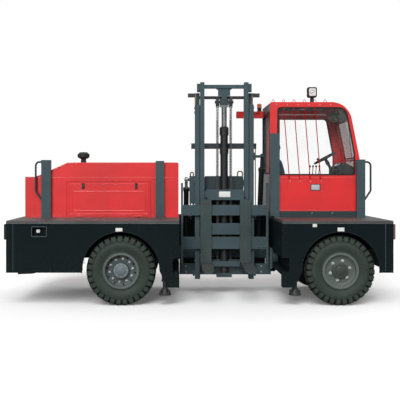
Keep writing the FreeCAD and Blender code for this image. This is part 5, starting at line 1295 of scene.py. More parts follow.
class SIDELOADER_OT_cab_trim(bpy.types.Operator):
    """Add window rubbers, bolts, badge, creases, gutters, wiper, door lock and step treads to the cab"""
    bl_idname = "sideloader.cab_trim"
    bl_label = "Cab trim"

    def execute(self, context):
        fittings = context.scene.sideloader_fittings
        rubber = GASKET * (fittings.gasket, 1)
        rear, nose, roof, floor, near, far, sill, window, radii = cab_places()
        side = sweep(outline_path([(x, near, z) for x, z in window], radii), rubber, NEAR, True)
        back = pane_rubber((rear, sill + 0.021), (rear, roof - 0.148), near, far, rubber, AFT)
        slope = on_slope(nose, roof, floor, 1) - on_slope(nose, roof, floor, 0)
        outward = np.array((slope[1], 0, -slope[0]))
        low_share, high_share = 0.02, (roof - 0.268 - floor - SCREEN_FOOT) / (roof - floor - SCREEN_FOOT)
        lower, upper = (on_slope(nose, roof, floor, s) for s in (low_share, high_share))
        screen = pane_rubber(lower, upper, near, far, rubber, outward)
        toe = pane_rubber((nose, floor + 0.388), (nose, floor + 0.80), near, far, rubber, FORE)
        piece("window_rubbers", [side, back, screen, toe], "gasket")

        lo, hi = span("cab_door_glass")
        pane = [(lo[0], sill), (lo[0], hi[2]), (nose - 0.311, hi[2]), (hi[0] - 0.003, floor + 0.88),
                (hi[0] - 0.003, sill)]
        door_rubber = sweep(outline_path([(x, far, z) for x, z in pane], (0.02, 0.02, 0.08, 0.03, 0.02)),
                            rubber, FAR, True)
        piece("door_window_rubber", door_rubber, "gasket", "cab_door")

        heads = [(x, near, floor + 0.463) for x in np.linspace(rear + 0.155, nose - 0.601, 5)]
        heads += [(x, near, floor - 0.030) for x in (rear + 0.653, nose - 0.427)]
        heads += [(x, near, roof - 0.040) for x in np.linspace(rear + 0.10, nose - 0.45, 6)]
        piece("cab_bolts", bolts(heads, NEAR, fittings.small_bolt), "zinc")
        badge_at = np.array((rear + 0.707, near, floor + 0.369))
        rim = plate(badge_at, NEAR, 0.152, 0.104, 0.003, 0.012, 0.001)
        piece("badge_rim", rim, "plastic")
        piece("blank_badge", plate(badge_at - (0, 0.002, 0), NEAR, 0.130, 0.082, 0.003, 0.008, 0.001),
              "badge")

        bead = HALF_ROUND * (0.9, 0.8)
        creases = [sweep([(rear + 0.01, near, sill - 0.045), (nose - 0.01, near, sill - 0.045)], bead,
                         NEAR),
                   sweep([(rear + 0.01, near, floor + 0.012), (nose - 0.01, near, floor + 0.012)], bead,
                         NEAR),
                   sweep([(rear + 0.01, far, floor + 0.012), (nose - 0.01, far, floor + 0.012)], bead, FAR)]
        for y in np.linspace(near + 0.25, far - 0.25, 3):
            creases.append(sweep([(rear + 0.10, y, roof), (nose - 0.50, y, roof)], HALF_ROUND * (2.5, 1.0),
                                 UP))
        piece("cab_creases", creases, "red")

        strip = [(-0.008, -0.002), (-0.008, 0.003), (0.008, 0.003), (0.008, -0.002)]
        gutters = [sweep([(rear, near + 0.02, roof - 0.035), (rear, far - 0.02, roof - 0.035)], strip, AFT),
                   sweep([(rear + 0.02, far, roof - 0.045), (nose - 0.42, far, roof - 0.045)], strip, FAR)]
        piece("roof_gutters", gutters, "gasket")

        latch = [plate((window[0][0] + 0.024, near - 0.004, floor + 0.988), NEAR, 0.022, 0.060, 0.010,
                       0.005),
                 boss((window[0][0] + 0.030, near - 0.014, floor + 0.988), NEAR,
                      rounded(0.012, 0.030, 0.004), [(-0.001, 1), (0.008, 0.9), (0.009, 0.7)])]
        corner = on_slope(nose, roof, floor, 0.16, 0.004)
        for y in (near + 0.045, far - 0.045):
            latch.append(boss((corner[0] - 0.012, y, corner[1]), outward, rounded(0.085, 0.05, 0.01),
                              [(-0.012, 1), (0.010, 1), (0.012, 0.92)], FAR))
        piece("cab_catches", latch, "plastic")

        y = (near + far) / 2
        hub = on_slope(nose, roof, floor, -0.02, 0.012)
        tip = on_slope(nose, roof, floor, 0.50, 0.022)
        arm = [cable([(hub[0] - 0.01, y + 0.10, hub[1]), (hub[0] + 0.006, y + 0.10, hub[1]),
                      (tip[0], y - 0.12, tip[1])], 0.005, 0.01)]
        ends = [on_slope(nose, roof, floor, s, 0.012) for s in (0.26, 0.74)]
        arm.append(cable([(ends[0][0], y - 0.03, ends[0][1]), (tip[0] - 0.004, y - 0.12, tip[1] - 0.004),
                          (ends[1][0], y - 0.21, ends[1][1])], 0.006, 0.01, 8))
        arm.append(lathe((nose - 0.004, y + 0.10, hub[1] - 0.01), FORE,
                         [(0, 0.022), (0.012, 0.022), (0.016, 0.016)], 20))
        piece("wiper", arm, "plastic")

        lo, hi = span("cab_door")
        lock = [plate((hi[0] - 0.095, far, sill - 0.235), FAR, 0.034, 0.05, 0.006, 0.008),
                lathe((hi[0] - 0.095, far + 0.005, sill - 0.235), FAR,
                      [(0, 0.010), (0.006, 0.010), (0.007, 0.007)], 16),
                plate((lo[0] + 0.12, far, floor + 0.06), FAR, 0.05, 0.02, 0.004, 0.005)]
        piece("door_lock", lock, "plastic", "cab_door")
        panel = sweep(frame_path(lo[0] + 0.07, hi[0] - 0.09, lo[2] + 0.07, sill - 0.09, far, 0.05), bead,
                      FAR, True)
        piece("door_pressing", panel, "red", "cab_door")
        treads = []
        lo, hi = span("cab_step")
        for x in np.linspace(lo[0] + 0.02, hi[0] - 0.02, 8):
            treads.append(plate((x, (lo[1] + hi[1]) / 2, hi[2]), UP, 0.010, 0.12, 0.004, 0.003, 0.001, FAR))
        piece("step_treads", treads, "steel")
        return {"FINISHED"}


class SIDELOADER_OT_cab_inside(bpy.types.Operator):
    """Add dials, switches, pedals, mat, lever boots, horn button, fan and roof lining to the cab"""
    bl_idname = "sideloader.cab_inside"
    bl_label = "Cab inside"

    def execute(self, context):
        rear, nose, roof, floor, near, far = cab_places()[:6]
        lo, hi = span("dashboard")
        top = hi[2]
        y = middle("seat_cushion")[1]
        tilt = np.array((-0.573, 0, 0.819))
        face = np.array((lo[0] + 0.05, 0, top - 0.035))
        hood = boss(face + (0, y, 0), tilt, rounded(0.46, 0.13, 0.03),
                    [(-0.02, 1), (0.012, 1), (0.02, 0.93), (0.016, 0.88)], FORE)
        piece("dial_hood", hood, "plastic")
        dials, rings, ticks = [], [], []
        for i, (dy, r) in enumerate(((-0.15, 0.030), (-0.07, 0.038), (0.03, 0.038), (0.11, 0.030))):
            at = face + (0, y + dy, 0) + tilt * 0.017
            dials.append(lathe(at, tilt, [(-0.001, r), (0.0015, r), (0.002, r * 0.97)], 28))
            rings.append(oval_ring(at, tilt, (0.002, r), 0.003, 8, 28))
            along, upward, out = axes(tilt, FORE)
            for turn in np.linspace(-0.7, 3.84, 9):
                ray = math.cos(turn) * along - math.sin(turn) * upward
                ticks.append(boss(at + ray * r * 0.8 + out * 0.002, out, rounded(0.0012, 0.007, 0.0004, 1),
                                  [(0, 1), (0.0006, 1)], ray))
            ray = math.cos(0.6 + i) * along - math.sin(0.6 + i) * upward
            ticks.append(boss(at + ray * r * 0.35 + out * 0.002, out, rounded(0.0014, r * 0.8, 0.0005, 1),
                              [(0, 1), (0.001, 1)], ray))
        piece("dial_faces", dials, "gasket")
        piece("dial_rings", rings, "chrome")
        piece("dial_marks", ticks, "label")
        rockers = [boss((lo[0], y + dy, top - 0.13), AFT, rounded(0.026, 0.042, 0.004),
                        [(-0.001, 1), (0.006, 1), (0.009, 0.8)])
                   for dy in (-0.40, -0.36, -0.32, 0.32, 0.36, 0.40)]
        key = lathe((lo[0], y + 0.26, top - 0.13), AFT,
                    [(-0.001, 0.014), (0.006, 0.014), (0.008, 0.010), (0.02, 0.003)], 16)
        piece("dash_switches", rockers + [key], "gasket")
        panel = [plate((lo[0], y, top - 0.25), AFT, 0.60, 0.12, 0.004, 0.02, 0.002)]
        vents = [plate((lo[0] - 0.004, y + dy, top - 0.25), AFT, 0.12, 0.006, 0.003, 0.002, 0.0008)
                 for dy in (-0.2, 0.2)]
        vents = joined([repeated(v, [(0, 0, dz) for dz in (-0.03, -0.015, 0, 0.015, 0.03)]) for v in vents])
        piece("dash_vents", panel + [vents], "plastic")

        pedals = []
        for dy in (-0.16, 0.02, 0.16):
            at = np.array((lo[0] - 0.17, y + dy, floor + 0.14))
            pad = np.array((-0.75, 0, 0.66))
            pedals.append(boss(at, pad, rounded(0.075, 0.11, 0.015),
                               [(-0.006, 1), (0.006, 1), (0.009, 0.92)], UP))
            pedals.append(cable([at, at + (0.06, 0, 0.0), at + (0.165, 0, 0.10)], 0.009, 0.03))
            for k in (-0.03, -0.01, 0.01, 0.03):
                along, upward, out = axes(pad, UP)
                pedals.append(boss(at + upward * k + out * 0.008, out, rounded(0.06, 0.006, 0.002, 2),
                                   [(0, 1), (0.003, 0.9)], UP))
        piece("pedals", pedals, "gasket")
        mat_x = (high("seat_cushion")[0] - 0.05, lo[0] - 0.01)
        mat = [boss(((mat_x[0] + mat_x[1]) / 2, y, floor), UP, rounded(mat_x[1] - mat_x[0], 0.72, 0.03),
                    [(-0.0005, 1), (0.006, 1), (0.008, 0.98)], FAR)]
        ribs = [plate((x, y, floor + 0.007), UP, 0.64, 0.008, 0.003, 0.002, 0.001, AFT)
                for x in np.linspace(mat_x[0] + 0.04, mat_x[1] - 0.04, 14)]
        piece("floor_mat", mat + ribs, "gasket")

        lo, hi = span("control_levers")
        shelf = lo[2] + 0.538
        lever_y = (lo[1] + hi[1]) / 2
        boots, collars = [], []
        for i in range(4):
            x = lo[0] + 0.062 + 0.05 * i
            steps = [(-0.001, 0.023), (0.006, 0.022), (0.010, 0.018), (0.016, 0.019), (0.020, 0.015),
                     (0.026, 0.016), (0.030, 0.012), (0.036, 0.013), (0.040, 0.008)]
            boots.append(lathe((x, lever_y, shelf), UP, steps, 20))
            collars.append(collar((x + 0.010, lever_y, shelf + 0.136), (0.08, 0, 1), 0.008, 0.0095, 0.001,
                                  0.011, 16))
        plate_top = plate(((lo[0] + hi[0]) / 2, lever_y, shelf), UP, hi[0] - lo[0] - 0.02,
                          hi[1] - lo[1] - 0.02, 0.003, 0.012, 0.001, FAR)
        piece("lever_boots", boots + [plate_top], "gasket")
        piece("lever_collars", collars, "zinc")

        slant = math.radians(29)
        axis = np.array((-math.sin(slant), 0, math.cos(slant)))
        radial = np.array((math.cos(slant), 0, math.sin(slant)))
        hub = np.array((low("dashboard")[0] - 0.152, y, low("seat_cushion")[2] + 0.460))
        horn = lathe(hub + axis * 0.012, axis,
                     [(-0.002, 0.038), (0.006, 0.038), (0.010, 0.032), (0.011, 0.012)], 28)
        knob_at = hub - radial * 0.13 + (0, -0.13, 0) + axis * 0.010
        knob = lathe(knob_at, axis,
                     [(0, 0.010), (0.02, 0.008), (0.026, 0.018), (0.04, 0.021), (0.052, 0.016),
                      (0.056, 0.006)], 20)
        boot = lathe(hub - axis * 0.11, axis,
                     [(0, 0.034), (0.01, 0.037), (0.02, 0.031), (0.03, 0.034), (0.04, 0.028), (0.05, 0.031),
                      (0.06, 0.026)], 24)
        piece("wheel_horn_and_knob", [horn, knob, boot], "gasket")

        centre = np.array((nose - 0.335, near + 0.36, roof - 0.185))
        facing = np.array((-0.35, -0.93, -0.12))
        fan = [oval_ring(centre, facing, (d, r), 0.0035, 6, 40)
               for d, r in ((0.028, 0.035), (0.030, 0.060), (0.024, 0.085), (0.0, 0.098), (-0.024, 0.085))]
        along, upward, out = axes(facing)
        for turn in spaced(12):
            ray = math.cos(turn) * along + math.sin(turn) * upward
            fan.append(cable([centre + ray * 0.02 + out * 0.026, centre + ray * 0.06 + out * 0.030,
                              centre + ray * 0.085 + out * 0.024, centre + ray * 0.098,
                              centre + ray * 0.085 - out * 0.024], 0.0022, 0.01, 5))
        fan.append(lathe(centre, facing,
                         [(-0.06, 0.02), (-0.055, 0.034), (-0.01, 0.036), (0.0, 0.024), (0.02, 0.022),
                          (0.026, 0.012)], 24))
        fan.append(cable([centre - out * 0.05, centre - out * 0.05 + (0, 0, 0.07),
                          (centre[0], centre[1] + 0.05, roof - 0.046)], 0.010, 0.03))
        piece("cab_fan", fan, "blades")
        blades = []
        for turn in spaced(4, 0.3):
            ray = math.cos(turn) * along + math.sin(turn) * upward
            lean = out + 0.5 * np.cross(out, ray)
            blades.append(boss(centre + ray * 0.052 + out * 0.006, lean, rounded(0.046, 0.056, 0.018),
                               [(-0.0008, 1), (0.0008, 1)], ray))
        piece("fan_blades", blades, "blades")

        lining = plate(((rear + nose) / 2 - 0.12, y, roof - 0.045), DOWN, nose - rear - 0.48,
                       far - near - 0.24, 0.012, 0.06, 0.008, FAR)
        piece("roof_lining", lining, "trim")
        lamp = lathe((rear + 0.60, y, roof - 0.057), DOWN,
                     [(-0.001, 0.055), (0.008, 0.055), (0.016, 0.046), (0.018, 0.02)], 28)
        piece("cab_roof_light", lamp, "clear")
        return {"FINISHED"}


# ---------------- seat

def crowned_pad(lo, hi, crown, corner):
    """Closed cushion: each point of a cube's skin is pushed towards a rounded block, where a point's
    distance past the inner block is cut to the corner radius, and the middle of each face is raised by
    the crown."""
    count = 14
    half = (hi - lo) / 2
    centre = (hi + lo) / 2
    line = np.linspace(-1, 1, count)
    u, v = np.meshgrid(line, line, indexing="ij")
    one = np.ones_like(u)
    sides = [np.stack(s, -1)
             for s in ((u, v, one), (u, v, -one), (u, one, v), (u, -one, v), (one, u, v), (-one, u, v))]
    points = np.concatenate([s.reshape(-1, 3) for s in sides]) * half
    core = np.clip(points, -(half - corner), half - corner)
    out = points - core
    length = np.maximum(np.linalg.norm(out, axis=1, keepdims=True), 1e-9)
    points = core + out / length * np.minimum(length, corner)
    share = 1 - np.clip(np.abs(points) / half, 0, 1) ** 2
    swell = np.array(crown) * np.sign(points) * (np.abs(points) / half) ** 4
    points = points + swell * np.sqrt(np.maximum(share[:, [1, 0, 0]] * share[:, [2, 2, 1]], 0))
    grid = np.arange(count * count).reshape(count, count)
    quads = np.stack([grid[:-1, :-1], grid[1:, :-1], grid[1:, 1:], grid[:-1, 1:]], -1).reshape(-1, 4)
    faces = [(q + k * count * count).tolist() for k in range(6) for q in quads]
    return points + centre, faces


# Length of the pads' simulation.
BLOWN_FRAMES = 20


def simulated(obj, travel):
    """Points of a pad blown up by the cloth solver, each held to within a travel of where it began."""
    bpy.context.view_layer.objects.active = obj
    remesh = obj.modifiers.new("even_mesh", "REMESH")
    remesh.mode = "VOXEL"
    remesh.voxel_size = 0.006
    bpy.ops.object.modifier_apply(modifier=remesh.name)
    count = len(obj.data.vertices)
    start = np.zeros(count * 3)
    obj.data.vertices.foreach_get("co", start)
    cloth = obj.modifiers.new("blown_up", "CLOTH")
    cloth.settings.quality = 4
    cloth.settings.mass = 0.3
    cloth.settings.use_pressure = True
    cloth.settings.uniform_pressure_force = 4.0
    cloth.settings.effector_weights.gravity = 0.0
    cloth.settings.tension_stiffness = 8.0
    cloth.settings.bending_stiffness = 0.5
    for number in range(1, BLOWN_FRAMES + 1):
        bpy.context.scene.frame_set(number)
    bpy.ops.object.modifier_apply(modifier=cloth.name)
    bpy.context.scene.frame_set(1)
    end = np.zeros(count * 3)
    obj.data.vertices.foreach_get("co", end)
    move = (end - start).reshape(-1, 3)
    reach = np.maximum(np.linalg.norm(move, axis=1, keepdims=True), 1e-9)
    return start.reshape(-1, 3) + move * np.minimum(1, travel / reach)


def seam_depth(distance, width, depth):
    """Groove of a sewn channel: depth times a bell curve of the distance over its width."""
    return depth * np.exp(-(distance / width) ** 2)


def smoothed(obj, points):
    """Writes the points, shades smooth, evens out the remeshed steps and adds one subdivision."""
    obj.data.vertices.foreach_set("co", points.astype(np.float32).ravel())
    obj.data.update()
    obj.data.shade_smooth()
    soft = obj.modifiers.new("soft", "SMOOTH")
    soft.factor, soft.iterations = 0.5, 3
    finer = obj.modifiers.new("finer", "SUBSURF")
    finer.levels = finer.render_levels = 1


class SIDELOADER_OT_seat(bpy.types.Operator):
    """Add the padded seat cushion and backrest with their seams, piping, bellows and buckles"""
    bl_idname = "sideloader.seat"
    bl_label = "Seat"

    def execute(self, context):
        lo, hi = span("seat_cushion")
        inset = np.array((0.010, 0.012, 0.012))
        shape = crowned_pad(lo + inset * (1, 1, 0.3), hi - inset, (0.0, 0.004, 0.010), 0.034)
        cushion = piece("seat_cushion_pad", shape, "cloth", smooth=False)
        points = simulated(cushion, 0.010)
        centre = (lo + hi) / 2
        top = np.clip((points[:, 2] - centre[2]) / (hi[2] - centre[2]), 0, 1)
        for y in (-0.135, 0.135):
            points[:, 2] -= top * seam_depth(points[:, 1] - centre[1] - y, 0.009, 0.009)
        for x in (-0.09, 0.01, 0.11):
            inside = np.abs(points[:, 1] - centre[1]) < 0.135
            points[:, 2] -= top * inside * seam_depth(points[:, 0] - centre[0] - x, 0.008, 0.006)
        bolster = np.clip((np.abs(points[:, 1] - centre[1]) - 0.15) / 0.06, 0, 1)
        points[:, 2] += top * bolster * 0.010
        points = np.clip(points, lo, hi + (0, 0, 0.008))
        smoothed(cushion, points)
        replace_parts(cushion, "seat_cushion")

        lo, hi = span("seat_backrest")
        lean = math.atan2(0.075, 0.47)
        thick = 0.112
        foot = np.array((lo[0] + 0.135, (lo[1] + hi[1]) / 2, lo[2] + 0.004))
        length = (hi[2] - lo[2]) / math.cos(lean) - 0.015
        half = np.array((thick / 2 - 0.010, (hi[1] - lo[1]) / 2 - 0.012, length / 2 - 0.012))
        flat, faces = crowned_pad(-half, half, (0.012, 0.004, 0.0), 0.032)
        flat[:, 1] *= 1 - 0.12 * np.clip(flat[:, 2] / half[2], 0, 1) ** 2
        turn = np.array(((math.cos(lean), 0, -math.sin(lean)), (0, 1, 0),
                         (math.sin(lean), 0, math.cos(lean))))
        middle_at = foot + turn @ np.array((0, 0, length / 2))
        back = piece("seat_backrest_pad", (flat @ turn.T + middle_at, faces), "cloth",
                     smooth=False)
        points = (simulated(back, 0.010) - middle_at) @ turn
        front = np.clip(points[:, 0] / half[0], 0, 1)
        for y in (-0.13, 0.13):
            points[:, 0] -= front * seam_depth(points[:, 1] - y, 0.009, 0.009)
        for z in (-0.13, -0.02, 0.09):
            inside = np.abs(points[:, 1]) < 0.13
            points[:, 0] -= front * inside * seam_depth(points[:, 2] - z, 0.008, 0.006)
        wing = np.clip((np.abs(points[:, 1]) - 0.14) / 0.06, 0, 1)
        waist = np.clip(1 - np.abs(points[:, 2] + 0.03) / half[2], 0, 1) ** 0.5
        points[:, 0] += front * wing * waist * 0.034
        points = np.clip(points @ turn.T + middle_at, lo, hi + (0.022, 0.002, 0.004))
        smoothed(back, points)
        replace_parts(back, "seat_backrest")

        corners = [(-half[0] * 0.2, s * half[1] * w, z * half[2])
                   for s, z, w in ((-1, -1, 1), (-1, 1, 0.88), (1, 1, 0.88), (1, -1, 1))]
        path = smooth_path(np.array(corners) * (1, 1.005, 1.0), 0.05, 6) @ turn.T + middle_at
        cords = [sweep(path, circle(8, 0.0045), turn @ np.array(FORE), True)]
        lo, hi = span("seat_cushion")
        z = hi[2] - 0.034
        ring = smooth_path([(lo[0] + 0.012, lo[1] + 0.008, z), (hi[0] - 0.006, lo[1] + 0.008, z),
                            (hi[0] - 0.006, hi[1] - 0.008, z), (lo[0] + 0.012, hi[1] - 0.008, z)], 0.035, 6)
        cords.append(sweep(ring, circle(8, 0.0045), UP, True))
        piece("seat_piping", cords, "piping")
        bellows = []
        for k, share in enumerate((1, 0.925, 1, 0.925, 1)):
            bellows.append(boss((lo[0] + 0.12, (lo[1] + hi[1]) / 2, lo[2] - 0.018 - 0.018 * k), UP,
                                rounded(0.462 * share, 0.412 * share, 0.03),
                                [(-0.009, 0.97), (0, 1), (0.009, 0.97)], FAR))
        piece("seat_bellows", bellows, "gasket")
        lever = [cable([(hi[0] - 0.10, lo[1] - 0.004, lo[2] - 0.02),
                        (hi[0] - 0.02, lo[1] - 0.012, lo[2] - 0.02),
                        (hi[0] + 0.03, lo[1] - 0.012, lo[2] - 0.01)], 0.006, 0.02),
                 lathe((hi[0] + 0.02, lo[1] - 0.012, lo[2] - 0.013), FORE,
                       [(0, 0.008), (0.005, 0.011), (0.04, 0.010), (0.045, 0.005)], 14)]
        buckle = [boss((lo[0] + 0.03, s, lo[2] + 0.02), (0.25, 0, 1), rounded(0.03, 0.016, 0.005),
                       [(-0.05, 0.8), (0.0, 0.9), (0.05, 1), (0.055, 0.9)], FAR)
                  for s in (lo[1] - 0.012, hi[1] + 0.012)]
        piece("seat_lever_and_buckles", lever + buckle, "plastic")
        return {"FINISHED"}


# ---------------- mast

def leaf_chain(path, x, pitch, plates):
    """Leaf chain along an upright path: at each pitch an oval plate set, whose outline is carried to the
    link's middle and turned to the path there. Every other link has the first set of plates and those
    between have the second; a pin crosses each joint."""
    path = np.asarray(path, float)
    run = np.concatenate([[0], np.cumsum(np.linalg.norm(np.diff(path, axis=0), axis=1))])
    count = int(run[-1] / pitch)
    at = (np.arange(count) + 0.5) * run[-1] / count
    spot = np.stack([np.interp(at, run, path[:, k]) for k in range(2)], -1)
    ahead = np.stack([np.interp(np.minimum(at + 0.002, run[-1]), run, path[:, k]) for k in range(2)], -1)
    behind = np.stack([np.interp(np.maximum(at - 0.002, 0), run, path[:, k]) for k in range(2)], -1)
    along = (ahead - behind) / np.linalg.norm(ahead - behind, axis=1, keepdims=True)
    across = np.stack([-along[:, 1], along[:, 0]], -1)
    reach = pitch / 2 + 0.0045
    oval = np.array([(-reach, -0.35), (-reach, 0.35), (-reach * 0.72, 1), (reach * 0.72, 1), (reach, 0.35),
                     (reach, -0.35), (reach * 0.72, -1), (-reach * 0.72, -1)]) * (1, 0.0056)
    shapes = []
    for parity, offsets in enumerate(plates):
        chosen = slice(parity, None, 2)
        flat = (spot[chosen, None] + oval[None, :, :1] * along[chosen, None] + oval[None, :, 1:]
                * across[chosen, None])
        for offset, thick in offsets:
            rings = np.stack([np.concatenate([np.full((*flat.shape[:2], 1), x + offset + s * thick / 2),
                                              flat], -1) for s in (-1, 1)], 1)
            n, m = len(flat), len(oval)
            faces = []
            single = ring_faces(2, m) + [list(range(m)), list(range(m, 2 * m))]
            for k in range(n):
                faces += [[i + k * 2 * m for i in face] for face in single]
            shapes.append((rings.reshape(-1, 3), faces))
    joint = np.arange(count + 1) * run[-1] / count
    pins = np.stack([np.full(count + 1, x), np.interp(joint, run, path[:, 0]),
                     np.interp(joint, run, path[:, 1])], -1)
    pin = boss((0, 0, 0), FORE, circle(6, 0.0032), [(-0.0175, 1), (0.0175, 1)])
    shapes.append(repeated(pin, pins))
    return joined(shapes)


# The two sets of plates of a lift chain: (place across it, thickness) of each plate.
PLATES = (((-0.0145, 0.004), (0.0, 0.004), (0.0145, 0.004)), ((-0.0075, 0.005), (0.0075, 0.005)))


class SIDELOADER_OT_chains(bpy.types.Operator):
    """Add the leaf chains of the mast"""
    bl_idname = "sideloader.chains"
    bl_label = "Lift chains"

    def execute(self, context):
        pitch = context.scene.sideloader_fittings.pitch
        lo, hi = span("lift_chains")
        y = (lo[1] + hi[1]) / 2
        radius = (hi[1] - lo[1]) / 2 - 0.006
        z = hi[2] - radius - 0.006
        turn = np.linspace(np.pi, 0, 30)
        over = np.stack([y + radius * np.cos(turn), z + radius * np.sin(turn)], -1)
        path = np.concatenate([[(y - radius, lo[2] + 0.362)], over, [(y + radius, lo[2] + 0.002)]])
        edges = (lo[0] + 0.017, hi[0] - 0.017)
        running = joined([leaf_chain(path, x, pitch, PLATES) for x in edges])
        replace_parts(piece("leaf_chains", running, "black_steel", "inner_mast"), "lift_chains")
        lo, hi = span("chain_anchor_runs")
        y = (lo[1] + hi[1]) / 2
        still = joined([leaf_chain([(y, lo[2] + 0.002), (y, hi[2] - 0.002)], x, pitch, PLATES)
                        for x in edges])
        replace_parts(piece("anchored_chains", still, "black_steel", "outer_mast"),
                    "chain_anchor_runs")
        return {"FINISHED"}


# Half the outer mast's width; then how far across the truck its ties' two faces, the black sheet of painted
# shade behind the back plate, the hose brackets and the near face of the carriage's plates lie.
MAST_HALF = 0.4625
TIE_NEAR, TIE_FAR, SHADE_SHEET, HOSE_Y, CARRIAGE_NEAR = 0.266, 0.304, 0.272, 0.315, 0.020


class SIDELOADER_OT_mast_fittings(bpy.types.Operator):
    """Add bolts, a black sheet of painted shade, dark strips, hose ends, caps and pins to the mast, and
    ribs to the jacks
    """
    bl_idname = "sideloader.mast_fittings"
    bl_label = "Mast fittings"

    def execute(self, context):
        size = context.scene.sideloader_fittings.bolt
        x = middle("outer_mast")[0]
        barrel_lo, barrel_hi = span("lift_barrel")
        centre = middle("lift_barrel")
        heads = [(x + s * d, TIE_FAR, z) for s in (-1, 1)
                 for d, z in ((MAST_HALF - 0.03, 3.107), (MAST_HALF + 0.03, 2.335),
                              (MAST_HALF - 0.03, 2.335), (MAST_HALF - 0.04, 1.70), (MAST_HALF - 0.04, 1.80),
                              (MAST_HALF + 0.07, 3.143))]
        heads += [(x + s * d, TIE_FAR, 1.75) for s in (-1, 1) for d in (0.08, 0.18, 0.27)]
        piece("mast_rear_bolts", bolts(heads, FAR, size), "zinc", "outer_mast")
        # A black sheet below the back plate: painted shade that darkens the gap seen below it.
        shade_sheet = plate((x, SHADE_SHEET, 1.6075), NEAR, 0.621, 0.465, 0.004, 0.012)
        piece("mast_shield", shade_sheet, "black", "outer_mast")
        # Dark upright strips on the mast's loading-side face, near its sides.
        strips = [boss((x + s * (MAST_HALF - 0.0758), 0.080, 1.61), NEAR, rounded(0.0136, 2.70, 0.002),
                       [(-0.018, 1), (0.001, 1), (0.0015, 0.999)]) for s in (-1, 1)]
        piece("mast_dark_strips", strips, "gasket", "outer_mast")
        heads = [(x + s * d, TIE_NEAR, z) for s in (-1, 1)
                 for d, z in ((MAST_HALF + 0.035, 2.315), (MAST_HALF + 0.035, 2.355),
                              (MAST_HALF + 0.085, 3.143), (MAST_HALF + 0.05, 3.143))]
        piece("mast_front_bolts", bolts(heads, NEAR, 0.016), "slate", "outer_mast")
        side = [(x + s * MAST_HALF, y, z) for s in (-1, 1) for y in (0.115, 0.195)
                for z in (0.52, 0.60, 2.86, 2.93)]
        shapes = [bolts([p for p in side if (p[0] - x) * s > 0], (s, 0, 0), 0.016) for s in (-1, 1)]
        piece("mast_side_bolts", shapes, "slate", "outer_mast")

        rings = [lathe((centre[0], centre[1], barrel_hi[2] - 0.002), UP,
                       [(0, 0.054), (0.004, 0.054), (0.006, 0.050), (0.006, 0.0435)], 36)]
        bands = ((barrel_hi[2] - 0.120, 0.0718, 0.0735, 0.002, 0.016),
                 (barrel_hi[2] - 0.050, 0.0718, 0.0735, 0.002, 0.010),
                 (barrel_lo[2] + 0.030, 0.060, 0.066, 0.004, 0.030))
        rings += [collar((centre[0], centre[1], z), UP, *sizes, 36) for z, *sizes in bands]
        for turn in spaced(6, 0.5):
            rings.append(lathe((centre[0] + 0.060 * math.cos(turn), centre[1] + 0.060 * math.sin(turn),
                                barrel_hi[2] - 0.016), UP, [(0, 0.006), (0.010, 0.006), (0.011, 0.004)], 8))
        piece("cylinder_rings", rings, "black_steel", "outer_mast")

        hose_lo, hose_hi = span("mast_hoses")
        lug_y = hose_hi[1] - 0.011
        legs = [(hose_lo[0] + 0.011, lug_y, hose_lo[2]), (x - MAST_HALF - 0.020, lug_y, hose_lo[2] + 0.16),
                (x + 0.222, HOSE_Y, 1.70), (x + 0.300, HOSE_Y, 1.70),
                (hose_hi[0] - 0.008, 0.285, hose_lo[2])]
        ends, bends = [], []
        for at in legs:
            r = 0.0115 if at[0] < hose_hi[0] - 0.02 else 0.0085
            ends.append(lathe((at[0], at[1], at[2] - 0.004), UP,
                              [(0, r), (0.002, r + 0.004), (0.030, r + 0.004), (0.032, r + 0.001)], 12))
            ends.append(lathe((at[0], at[1], at[2] - 0.026), UP,
                              [(0, r + 0.005), (0.020, r + 0.005), (0.022, r)], 6))
            bends.append(cable([(at[0], at[1], at[2] - 0.024), (at[0], at[1], at[2] - 0.065),
                                (at[0], at[1] - 0.055, at[2] - 0.065)], 0.008, 0.03))
        piece("hose_ends", ends, "zinc", "outer_mast")
        piece("hose_elbows", bends, "steel", "outer_mast")
        clamps = [plate((x + 0.261, HOSE_Y + 0.010, 1.76), FAR, 0.12, 0.022, 0.004, 0.004, 0.001),
                  bolt((x + 0.261, HOSE_Y + 0.014, 1.76), FAR, 0.013)]
        piece("hose_clamp", clamps, "steel", "outer_mast")

        lo, hi = span("inner_mast")
        heads = [(x + s * d, lo[1] + 0.029, 3.267) for d in (0.20, 0.32) for s in (-1, 1)]
        heads += [(x + s * 0.404, lo[1] + 0.019, z) for s in (-1, 1) for z in (3.215, 3.28)]
        piece("inner_mast_bolts", bolts(heads, NEAR, 0.016), "slate", "inner_mast")
        caps = [lathe((x + s * (0.3785 + 0.052), 0.155, z), (s, 0, 0),
                      [(-0.002, 0.030), (0.001, 0.030), (0.003, 0.012)], 20) for s in (-1, 1)
                for z in (lo[2] + 0.07, lo[2] + 0.70)]
        piece("inner_roller_caps", caps, "zinc", "inner_mast")
        rod_hi = high("lift_rod")
        shaft = [lathe((x + s * (rod_hi[0] - x - 0.001), centre[1], rod_hi[2] - 0.054), (s, 0, 0),
                       [(0, 0.026), (0.006, 0.026), (0.008, 0.020), (0.010, 0.008)], 20) for s in (-1, 1)]
        piece("sheave_caps", shaft, "black_steel", "inner_mast")

